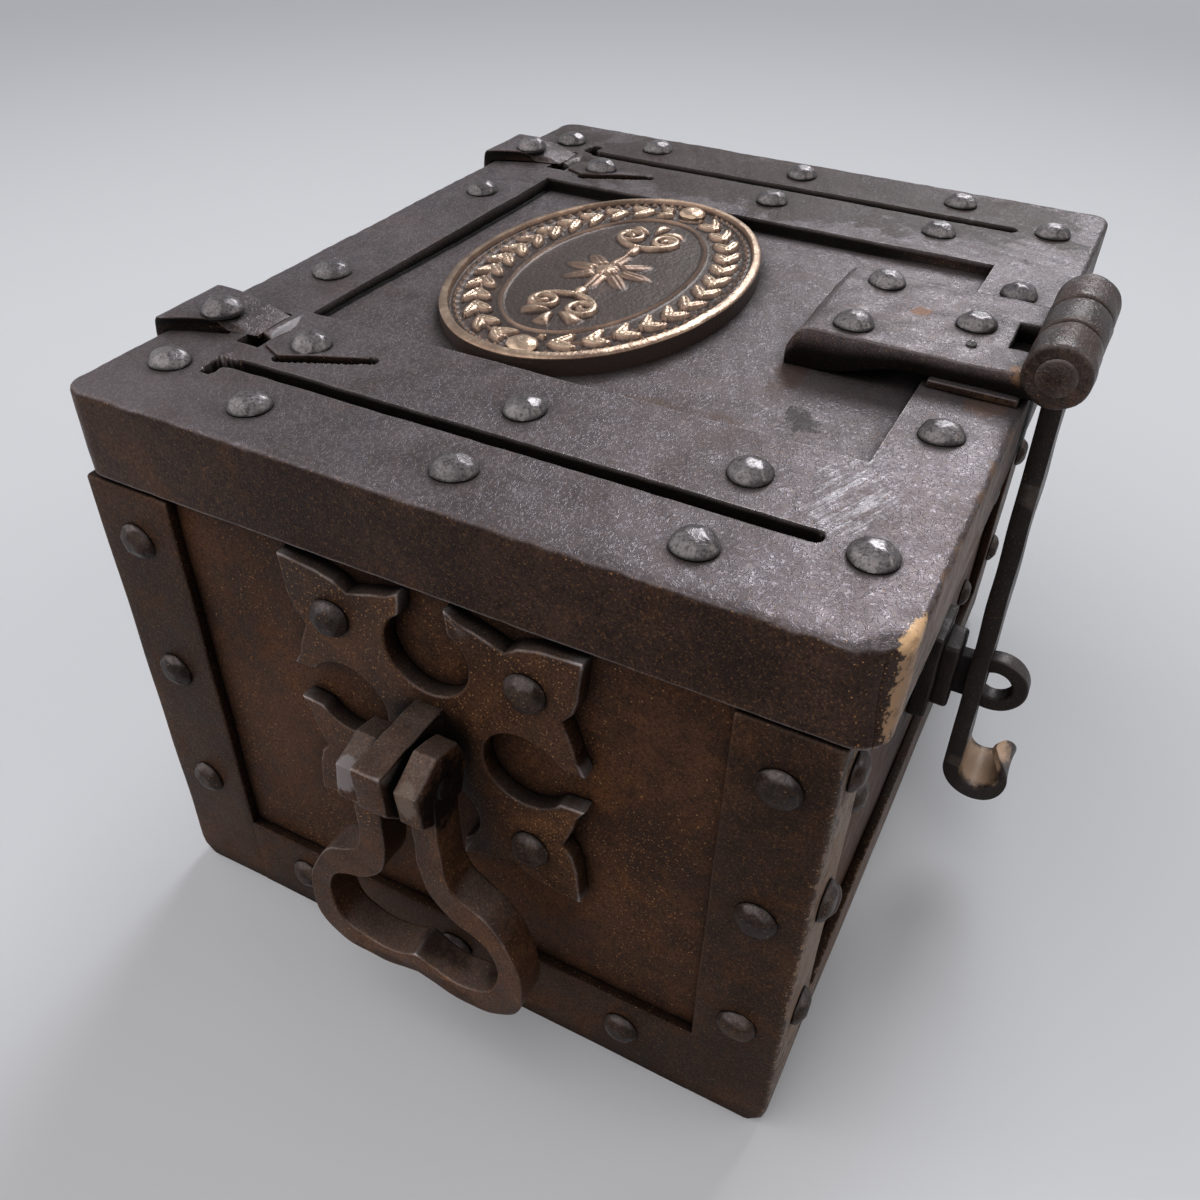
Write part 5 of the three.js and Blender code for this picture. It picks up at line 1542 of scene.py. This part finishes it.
@dataclass
class LidHinge(Assembly):
    """One lid hinge: the strap on the lid, the leaf on the back wall, the pin and the rivets."""

    end: End
    offset: float = 64.5
    width: float = 19.5
    lid_back: float = 83.0
    top: float = 140.0
    pin_y: float = 87.0
    pin_z: float = 120.4
    knuckle: float = 4.0
    knuckle_width: float = 7.8
    back_panel: float = 81.0

    @property
    def x(self) -> float:
        """Middle of the hinge on X."""
        return self.end * self.offset

    def part(self, word: str, shell: Shell, body: Body, coat: Coat, **options: object) -> None:
        """One piece of this hinge, under the hinge's own name and the piece's word."""
        self.piece(f"{self.end.word}_hinge_{word}", shell, body, coat, **options)

    @staticmethod
    def set_in(y: Array) -> Array:
        """How far the pad's left side is drawn in along Y, as it narrows towards the tail."""
        return np.interp(y, [64.0, 72.5, 83.5], [8.5, 6.6, 0.8])

    def pad(self) -> Shell:
        """The pad over the lid's back edge; its left half narrows and sinks into the frame."""
        half, top, outer, inner = self.width / 2, self.top, self.lid_back + 3.0, self.lid_back - 0.2
        face = [(64.4, -0.6, 0.1), (64.6, 0.05, 0.2), (70, 1.6, 6), (76, 2.8, 6)]
        corners = [(y, top + rise, radius) for y, rise, radius in face]
        corners += [(outer - 0.5, top + 3.0, 3.4), (outer, top - 1.5, 3.0), (outer, 125.1, 0.5)]
        corners += [(inner, 125.1, 0.2), (inner, top - 0.8, 0.2)]
        pad = prism(fillet(corners, 1.2), self.x - half, self.x + half, Axis.X, 0.7, 2.0)
        points = pad.points
        out = np.clip((self.x - points[:, 0]) / half, 0, 1)
        points[:, 0] += out * self.set_in(points[:, 1])
        sunk = ease(73.6 - points[:, 1], 0.0, 2.4) * ease(out, 0.45, 1.0)
        points[:, 2] -= np.maximum(points[:, 2] - top, 0) * sunk
        return pad

    def spade(self) -> Shell:
        """The spade tail beyond the hole; its far side sinks, so that only the near one has an edge."""
        corners = [(-4.2, 60.2, 1.5), (-6.8, 54.6, 1.5), (1.6, 37.6, 0.5), (9.3, 53.6, 2.0), (4.6, 60.2, 1.5)]
        loop = fillet([(self.x + across, y, radius) for across, y, radius in corners], 1.4)
        spade = prism(loop, self.top - 2.8, self.top + 0.7, Axis.Z, 0.5, 1.0)
        spade.points[:, 2] -= 1.1 * ease(spade.points[:, 0] - self.x, -3.0, 9.0)
        return spade

    def strap(self) -> None:
        """Pad, spade tail and knuckle, with dirt and painted shade along the pad's left side and the tail's
        edge.
        """
        near, far = self.x - self.knuckle_width / 2, self.x + self.knuckle_width / 2
        corners = [(83.4, self.pin_z, 0.2), (self.pin_y, self.pin_z, 0.2)]
        corners += [(self.lid_back + 3.0, 126.0, 0.3), (83.4, 126.0, 0.3)]
        web = prism(fillet(corners, 1.5), near, far, Axis.X, 0.3, 2.0)
        knuckle = rod((0, self.pin_y, self.pin_z), Axis.X, self.knuckle, near, far, 0.5)
        shell = join([self.pad(), self.spade(), web, knuckle])
        x, y, z = shell.points.T
        edge = self.x - self.width / 2 + self.set_in(y)
        roof = self.top + np.interp(y, [64.6, 70.0, 76.0, 85.0], [0.05, 1.6, 2.8, 3.0])
        # dirt and painted shade on the pad's left side and on the spade's lower walls
        side = (x < edge + 1.4) & (z > self.top - 1.0) & (z < roof - 0.35) & (y > 72.6)
        wall = (y < 61.0) & (z < self.top - 1.2)
        values = {"dirt_and_shade": (side | wall).astype(float)}
        shell = shell.forged(0.1, 14.0, 101 + self.end)
        self.part("strap", shell, Body.LID, self.coats.lid, values=values)

    def leaf(self) -> None:
        """Leaf on the back wall with its two outer knuckles and one head, and the pin."""
        x, half, gap = self.x, self.width / 2, self.knuckle_width / 2 + 0.35
        wall, seat = self.back_panel, self.back_panel + 3.0
        lowest, plate_top = self.pin_z - 28.0, self.pin_z - self.knuckle - 0.7
        shells = [slab((x - half, x + half), (wall, seat), (lowest, plate_top), 0.7, 2.0)]
        corners = [(wall, plate_top - 4.0, 0.3), (seat, plate_top - 8.0, 0.8)]
        corners += [(self.pin_y + self.knuckle, self.pin_z, 0.8), (wall, self.pin_z, 0.3)]
        gusset = fillet(corners, 1.5)
        for low, high in ((x - half, x - gap), (x + gap, x + half)):
            shells.append(prism(gusset, low, high, Axis.X, 0.5, 2.0))
            shells.append(rod((0, self.pin_y, self.pin_z), Axis.X, self.knuckle, low, high, 0.5))
        shell = join(shells).forged(0.08, 12.0, 104 + self.end)
        self.part("leaf", shell, Body.CASE, self.coats.fittings)
        head_z = (lowest + plate_top - self.knuckle) / 2
        head = rivet_head((x, seat, head_z), (0, 1, 0), 4.7, 3.4, 107 + self.end)
        self.part("leaf_head", head, Body.CASE, self.coats.rivet, nodes=())
        pin = rod((0, self.pin_y, self.pin_z), Axis.X, 1.8, x - half - 0.5, x + half + 0.5, 0.5)
        self.part("pin", pin, Body.CASE, self.coats.fittings)

    def build(self) -> None:
        """Both sides of the hinge and its loose rivets."""
        self.strap()
        self.leaf()
        for word, y, z, seed in (("pad", 74.5, self.top + 2.7, 110), ("tail", 51.5, self.top + 0.3, 120)):
            head = rivet_head((self.x, y, z), (0, 0, 1), 4.35, 3.1, seed + self.end)
            self.part(f"{word}_rivet", head, Body.LID, self.coats.rivet)


# The plaque


@dataclass
class Plaque(Assembly):
    """Oval bronze plaque: raised rim, beaded line, laurel band and a star rosette with scrolls."""

    centre: Pair = (0.5, 16.5)
    half_length: float = 50.2
    half_width: float = 33.3
    seat: float = 137.0
    face: float = 140.3
    rim_rise: float = 1.35
    around: int = 640
    band: float = 8.4
    pairs: int = 30
    pin_x: float = 43.5
    pin_y: float = -2.5

    def leaf_band(self, x: Array, y: Array, inset_by: Array, angle: Array) -> Array:
        """Height of the laurel leaves: pairs of pointed ovals on a line round the plaque.

        Args:
            x: places on X from the centre.
            y: places on Y from the centre.
            inset_by: distance in from the edge.
            angle: parameter round the ellipse.

        Returns:
            Height shares of 0 to 1.
        """
        fine = np.linspace(0, TURN, 2000)
        half = np.array([self.half_length, self.half_width]) - self.band
        run = run_of(np.stack([np.cos(fine), np.sin(fine)], axis=1) * half)
        along = np.interp(np.mod(angle, TURN), fine, run)
        pitch = run[-1] / self.pairs
        cell = np.mod(along, pitch) - pitch / 2
        across = inset_by - self.band
        height = np.zeros_like(x)
        # cosine and sine of a leaf's lean, and how far it stands off the stem
        ahead, aside, off = 0.82, 0.57, 1.35
        for side in (-1, 1):
            u = cell * ahead + side * across * aside
            v = across * ahead - side * cell * aside - side * off
            width = 1.75 * (1 - np.clip(np.abs(u) / 3.8, 0, 1) ** 2)
            body = np.clip(1 - (v / np.maximum(width, 1e-3)) ** 2, 0, 1) * (width > 0.02)
            rib = 1 - 0.35 * np.exp(-((v / 0.22) ** 2))
            height = np.maximum(height, np.sqrt(body) * rib)
        stem = np.exp(-((across / 0.4) ** 2)) * 0.5
        return np.maximum(height, stem)

    def rosette(self, x: Array, y: Array) -> Array:
        """Height of the star in the middle: eight petals round a button."""
        far, turn = np.hypot(x, y), np.arctan2(y, x)
        petal = 5.0 + 6.2 * np.abs(np.cos(4 * turn)) ** 1.3
        body = np.clip(1 - far / petal, 0, 1) ** 0.5
        vein = 1 - 0.3 * np.exp(-((np.sin(4 * turn) * far / 0.9) ** 2))
        button = np.sqrt(np.clip(1 - (far / 2.8) ** 2, 0, 1))
        groove = 1 - 0.8 * np.exp(-(((far - 3.2) / 0.45) ** 2))
        return np.maximum(body * vein * groove, button)

    def scrolls(self, x: Array, y: Array) -> Array:
        """Height of the four scrolls beside the star: ridges on spirals that thin out."""
        height = np.zeros_like(x)
        turn = np.linspace(0, 3.4 * math.pi, 110)
        reach = 5.6 * np.exp(-turn / 7.0)
        for side in (-1, 1):
            for up in (-1, 1):
                px = side * (21.5 - reach * np.cos(turn))
                py = up * (5.4 + reach * np.sin(turn) - 5.4 * np.exp(-turn / 2.0))
                near = np.sqrt(((x[..., None] - px) ** 2 + (y[..., None] - py) ** 2).min(axis=-1))
                height = np.maximum(height, np.sqrt(np.clip(1 - (near / 1.0) ** 2, 0, 1)) * 0.9)
            bud = np.hypot((x - side * 13.6) / 2.2, y / 1.3)
            height = np.maximum(height, np.sqrt(np.clip(1 - bud**2 / 1.6, 0, 1)) * 0.9)
            # a fan of five petals at each end of the field
            far, bend = np.hypot(x - side * 25.0, y), np.arctan2(y, side * (x - side * 25.0))
            petals = np.clip(np.cos(bend * 5.5), 0, 1) ** 0.7 * (np.abs(bend) < 1.43)
            fan = np.clip(1 - ((far - 4.4) / 3.4) ** 2, 0, 1) * petals
            height = np.maximum(height, fan**0.6)
        return height

    def relief(self, x: Array, y: Array, inset_by: Array, angle: Array) -> Array:
        """Height shares of everything that stands on the plaque's field."""
        line = np.exp(-(((inset_by - 3.6) / 0.4) ** 2)) * (0.35 + 0.35 * np.cos(angle * 84))
        inner = np.exp(-(((inset_by - 14.0) / 0.4) ** 2)) * 0.6
        # the field is bare round each pin
        shown = ease(np.hypot(np.abs(x) - self.pin_x, y - self.pin_y), 4.6, 5.4)
        height = np.maximum(self.leaf_band(x, y, inset_by, angle) * shown, self.rosette(x, y))
        height = np.maximum(height, np.maximum(line, inner) * shown)
        return np.maximum(height, self.scrolls(x, y))

    def build(self) -> None:
        """The plaque on a grid of (inset from its edge, angle), and its two pins."""
        edge = [0.0, 0.0, 0.0, 0.12, 0.4, 0.8, 1.4, 1.9, 2.15, 2.4, 2.7, 3.0, 3.3]
        insets = np.concatenate([edge, np.arange(3.6, 33.2, 0.4), [33.25]])
        angle = np.linspace(0, TURN, self.around, endpoint=False)
        inset_by, turn = np.meshgrid(insets, angle, indexing="ij")
        x = (self.half_length - inset_by) * np.cos(turn)
        y = (self.half_width - inset_by) * np.sin(turn)
        share = self.relief(x, y, inset_by, turn)
        share[:10] = 0
        rim = ease(2.5 - inset_by, 0.0, 0.6) * (1 - 0.2 * ease(inset_by, 1.2, 0.4))
        z = self.face + share * 1.25 + rim * self.rim_rise - 0.3 * (1 - rim) * ease(inset_by, 2.4, 7.0)
        # the first rings are the upright edge, from the seat to the rounding of the rim
        crest = self.face + self.rim_rise
        z[0], z[1], z[2] = self.seat, crest - 1.3, crest - 0.6
        z[3] -= 0.2
        shell = loft(np.stack([x + self.centre[0], y + self.centre[1], z], axis=-1))
        worn = np.maximum(share, rim * 0.85)
        worn[:2] = -0.8
        self.cast("plaque", shell.forged(0.03, 15.0, 131), worn.ravel())
        for number, side in enumerate((-1, 1), start=1):
            place = (self.centre[0] + side * self.pin_x, self.centre[1] + self.pin_y, self.face)
            head = rivet_head(place, (0, 0, 1), 3.5, 1.7, 132 + number)
            self.cast(f"plaque_pin_{number}", head, np.full(len(head.points), 0.9))

    def cast(self, name: str, shell: Shell, relief: Array) -> None:
        """A bronze piece with how far it is worn at each point."""
        self.piece(name, shell, Body.LID, self.coats.bronze, values={"relief": relief})


# The hasp


@dataclass
class Hasp(Assembly):
    """Leaf on the lid, three-part barrel with its pin, and the hanging strap."""

    x: float = 1.0
    pin_y: float = -87.0
    pin_z: float = 147.5
    barrel: float = 6.6
    barrel_half: float = 19.0
    leaf_half: float = 18.0
    leaf_back: float = -33.5
    leaf_top: float = 146.0
    strap_half: float = 6.3
    thickness: float = 4.2
    slot_low: float = 43.5
    slot_high: float = 66.9
    slot_half: float = 2.8
    gap: float = 0.35
    straight: int = 66
    curl_turn: float = 238.0
    tongue: float = 13.0
    slot_share: float = 0.444

    def leaf(self) -> None:
        """The leaf as a plate on a grid, with the slot for the middle knuckle left out."""
        slot_back, gap = -76.2, self.strap_half + self.gap
        front = [np.linspace(self.pin_y, slot_back, 8), np.linspace(slot_back, -62.4, 9)[1:], [-62.0]]
        back = [np.linspace(-61.0, -39.0, 14), [-38.0, -37.0, -35.6, -34.4, -33.9]]
        ys = np.concatenate(front + back)
        stops = (-self.leaf_half, -gap, gap, self.leaf_half)
        left, slot, right = (np.linspace(low, high, 9) for low, high in zip(stops, stops[1:]))
        xs = self.x + np.concatenate([left, slot[1:-1], right])
        along, across = np.meshgrid(ys, xs, indexing="ij")
        uneven = waves(np.stack([across, along, 0 * along], axis=-1).reshape(-1, 3), 0.14, 8.0, 141)[:, 2]
        top = self.leaf_top - 5.6 * np.clip((along + 37.6) / 3.7, 0, 1) ** 1.8 + uneven.reshape(along.shape)
        # it lies on the packing in front and comes down to the panel at its back end
        under = 141.3 - 4.3 * ease(along, -61.0, -40.0)
        middle = np.abs((across[:-1, :-1] + across[1:, 1:]) / 2 - self.x) < gap
        keep = ~((along[:-1, :-1] < slot_back - 0.01) & middle)
        over, below = (np.stack([across, along, z], axis=-1) for z in (top, under))
        shell = sheet_slab(over, below, keep).forged(0.1, 17.0, 142)
        # painted shade under the leaf, which reaches up its sides
        values = {"dirt_and_shade": np.concatenate([np.zeros(top.size), np.full(top.size, 1.5)])}
        self.piece("hasp_leaf", shell, Body.LID, self.coats.lid, bevel=0.55, values=values)

    def leaf_fittings(self) -> None:
        """What goes with the leaf: its two knuckles, the packing under it, the pin and the heads."""
        near, rods = self.strap_half + self.gap + 0.2, []
        for sign in (-1, 1):
            span = sorted((self.x + sign * near, self.x + sign * self.barrel_half))
            rods.append(rod((0, self.pin_y, self.pin_z), Axis.X, self.barrel, *span, 0.9))
        shell = join(rods).forged(0.14, 10.0, 143)
        self.piece("hasp_leaf_knuckles", shell, Body.LID, self.coats.fittings, nodes=())
        packing = slab((self.x - 19.7, self.x + 19.5), (-81.6, -64.0), (139.9, 141.6), 0.4, 2.0)
        self.piece("leaf_packing", packing, Body.LID, self.coats.lid)
        reach = self.barrel_half + 0.4
        half = [(reach, 0.5), (reach, 3.4), (reach - 0.3, 3.9), (reach - 1.5, 4.0)]
        profile = [(self.x - out, radius) for out, radius in half]
        profile += [(self.x + out, radius) for out, radius in half[::-1]]
        pin = turned((0, self.pin_y, self.pin_z), Axis.X, profile)
        self.piece("hasp_pin", pin, Body.LID, self.coats.fittings)
        for number, (x, y) in enumerate(((-11.0, -46.0), (13.0, -46.0), (1.0, -68.3)), start=1):
            head = rivet_head((x, y, self.leaf_top), (0, 0, 1), 4.1, 2.9, 145 + number)
            self.piece(f"leaf_rivet_{number}", head, Body.LID, self.coats.rivet)
        nub = rivet_head((-8.6, -69.4, self.leaf_top - 0.1), (0, 0, 1), 1.1, 1.2, 149)
        self.piece("leaf_nub", nub, Body.LID, self.coats.rivet, nodes=())

    def side_line(self) -> tuple[Array, Array, Array]:
        """The strap's middle line seen from the side, from the knuckle to the tip of its scroll.

        Returns:
            Points (y, z), the unit normals that face the box, and the running length. The line is
            straight down to the scroll and then a circle, tightening past its half turn.
        """
        curl, middle = 6.2, np.array([-96.1, 32.4])
        share = np.linspace(0, 1, self.straight)[:, None]
        upper = np.array([self.pin_y, self.pin_z]) * (1 - share) + (middle + [curl, 0]) * share
        last = math.radians(self.curl_turn)
        turn = -np.linspace(0, last, 44)[1:, None]
        reach = curl - 1.6 * ease(-turn, math.radians(170), last)
        bowl = middle + reach * np.hstack([np.cos(turn), np.sin(turn)])
        line = np.vstack([upper, bowl])
        way = np.gradient(line, axis=0)
        way /= np.linalg.norm(way, axis=1, keepdims=True)
        normal = np.stack([-way[:, 1], way[:, 0]], axis=1)
        return line, normal, run_of(line)

    def strap(self) -> None:
        """The hanging strap: a plate on a grid of (run along its line, place across), slotted."""
        line, normal, run = self.side_line()
        side = [self.slot_share, 0.56, 0.7, 0.86, 1.0]
        inside = np.linspace(-self.slot_share, self.slot_share, 6)[1:-1]
        shares = np.concatenate([-np.array(side[::-1]), inside, side])
        z = line[:, 1]
        straight = np.arange(len(line)) < self.straight
        bend, tip = run[self.straight - 1], run[-1]
        flare = ease(run, bend - 12.0, bend + 14.0)
        tongue = np.clip((run - tip + self.tongue) / self.tongue, 0, 1)
        half = (self.strap_half + 1.7 * flare) * np.sqrt(np.maximum(1 - tongue**2.2, 0.03))
        open_rows = straight & (z > self.slot_low) & (z < self.slot_high)
        end = np.clip(np.minimum(z - self.slot_low, self.slot_high - z) / self.slot_half, 0.0, 1.0)
        narrow = np.where(open_rows, np.sqrt(np.clip(1 - (1 - end) ** 2, 0.04, 1)), 1.0)
        t = np.tile(shares, (len(line), 1))
        inner = np.abs(shares) <= self.slot_share + 1e-4
        t[:, inner] *= narrow[:, None]
        x = self.x + t * half[:, None]
        thick = self.thickness / 2 * (1 - 0.6 * ease(run, tip - self.tongue, tip))[:, None]
        dish = 0.5 * flare[:, None] * (t**2 - 0.4)
        near = line[:, None] + normal[:, None] * (thick + dish)[..., None]
        far = line[:, None] - normal[:, None] * (thick - dish)[..., None]
        top, under = (np.concatenate([x[..., None], sheet], axis=-1) for sheet in (near, far))
        middle = np.abs((shares[:-1] + shares[1:]) / 2) < self.slot_share
        rows = open_rows[:-1] & open_rows[1:]
        keep = ~(rows[:, None] & middle[None, :])
        shell = sheet_slab(top, under, keep).forged(0.1, 22.0, 151)
        self.piece("hasp_strap", shell, Body.HASP, self.coats.hasp, bevel=0.6)
        span = (self.x - self.strap_half, self.x + self.strap_half)
        knuckle = rod((0, self.pin_y, self.pin_z), Axis.X, self.barrel - 0.1, *span, 0.9)
        knuckle = knuckle.forged(0.12, 9.0, 152)
        self.piece("hasp_strap_knuckle", knuckle, Body.HASP, self.coats.fittings, nodes=())

    def build(self) -> None:
        """All the pieces of the hasp."""
        self.leaf()
        self.leaf_fittings()
        self.strap()


# Light, floor and camera


@dataclass(frozen=True)
class Studio:
    """Plain pale floor, soft light and the photograph's viewpoint."""

    place: Point = (-222.6, -95.9, 243.1)
    right: Point = (0.46317, -0.88607, 0.01869)
    up: Point = (0.55134, 0.30457, 0.7767)
    sensor: float = 36.0
    lens: float = 33.03
    floor_color: Paint = (215, 216, 221)
    far_floor_shade: Paint = (171, 172, 178)
    dim_floor: Paint = (96, 94, 94)
    sky: Paint = (226, 228, 234)
    sky_fill: float = 0.14
    sky_shown: float = 0.32
    floor_half: float = 6.0

    @staticmethod
    def aim(seen: bpy.types.Object, place: Array, right: Array, up: Array, back: Array) -> None:
        """Puts a camera or lamp at a place in metres, turned to its right, up and back directions."""
        turn = np.eye(4)
        turn[:3] = np.stack([right, up, back, place], axis=1)
        seen.matrix_world = Matrix(turn.tolist())

    def camera(self) -> None:
        """The camera, from its place and its right and up directions."""
        data = bpy.data.cameras.new("camera")
        data.sensor_width, data.lens = self.sensor, self.lens
        data.clip_start = 0.01
        right, up = np.array(self.right), np.array(self.up)
        back = np.cross(right, up)
        seen = add_object("camera", data)
        self.aim(seen, np.array(self.place) * MM, right, up, back / np.linalg.norm(back))
        bpy.context.scene.camera = seen

    def lamp(self, name: str, way: Point, width: float, strength: float, color: Point = (1, 1, 1)) -> None:
        """A wide, far softbox: a sun lamp whose disc is large.

        Args:
            name: of the lamp.
            way: direction from the box to the lamp.
            width: angle that the lamp fills, in degrees.
            strength: light on a surface that faces it.
            color: red, green and blue of its light.
        """
        data = bpy.data.lights.new(name, "SUN")
        data.angle, data.energy, data.color = math.radians(width), strength, color
        back = np.array(way) / np.linalg.norm(way)
        right = np.cross([0, 0.02, 1], back)
        right /= np.linalg.norm(right)
        self.aim(add_object(name, data), back, right, np.cross(back, right), back)

    @staticmethod
    def shown(nodes: Nodes) -> Socket:
        """1 for the rays that show the background: camera, glossy and transmission rays."""
        rays = nodes.add("LightPath").outputs
        seen = nodes.math("MAXIMUM", rays["Is Camera Ray"], rays["Is Glossy Ray"])
        return nodes.math("MAXIMUM", seen, rays["Is Transmission Ray"])

    def floor(self) -> None:
        """The pale floor, painted darker far out as a falloff of light, and dimmer for the rays that only
        light the box.
        """
        mesh = bpy.data.meshes.new("floor")
        corners = np.array([(-1, -1, 0), (1, -1, 0), (1, 1, 0), (-1, 1, 0)]) * self.floor_half
        mesh.from_pydata(corners.tolist(), [], [(0, 1, 2, 3)])
        floor = add_object("floor", mesh)
        paint, nodes, shader = new_material("floor paint")
        # painted shade: the floor darkens away from the middle, as light falls off
        far = nodes.ramp(nodes.vector("LENGTH", nodes.place()), 0.25, 1.2)
        pale = nodes.mix(far, linear(self.floor_color), linear(self.far_floor_shade))
        color = nodes.mix(self.shown(nodes), linear(self.dim_floor), pale)
        nodes.fill(shader, {"Base Color": color, "Roughness": 0.8, "Specular IOR Level": 0.1})
        mesh.materials.append(paint)
        floor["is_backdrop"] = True

    def build(self) -> None:
        """Camera, world, lamps and floor."""
        self.camera()
        world = bpy.data.worlds.new("studio")
        world.use_nodes = True
        nodes = Nodes(world.node_tree)
        more = self.sky_shown - self.sky_fill
        strength = nodes.math("MULTIPLY_ADD", self.shown(nodes), more, self.sky_fill)
        nodes.fill(world.node_tree.nodes["Background"], {"Color": linear(self.sky), "Strength": strength})
        bpy.context.scene.world = world
        self.lamp("window", (0.78, 0.03, 0.62), 28, 1.62, (0.94, 0.97, 1))
        self.lamp("left softbox", (-0.72, 0.3, 0.62), 104, 2.05, (1, 0.98, 0.95))
        self.lamp("right softbox", (0.3, -0.8, 0.52), 44, 0.52, (1, 0.95, 0.88))
        self.lamp("back softbox", (0.1, 0.85, 0.5), 60, 0.4)
        self.floor()
        bpy.context.scene.view_settings.view_transform = "Standard"


def main() -> None:
    logging.basicConfig(level=logging.INFO, format="%(name)s: %(message)s")
    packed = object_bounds()
    limits = (np.array(packed[0]) / MM, np.array(packed[1]) / MM)
    shared = (limits, make_coats())
    Case(*shared).build()
    for end in End:
        Handle(*shared, end).build()
        LidHinge(*shared, end).build()
    Lid(*shared).build()
    Plaque(*shared).build()
    Hasp(*shared).build()
    Studio().build()


if __name__ == "__main__":
    main()
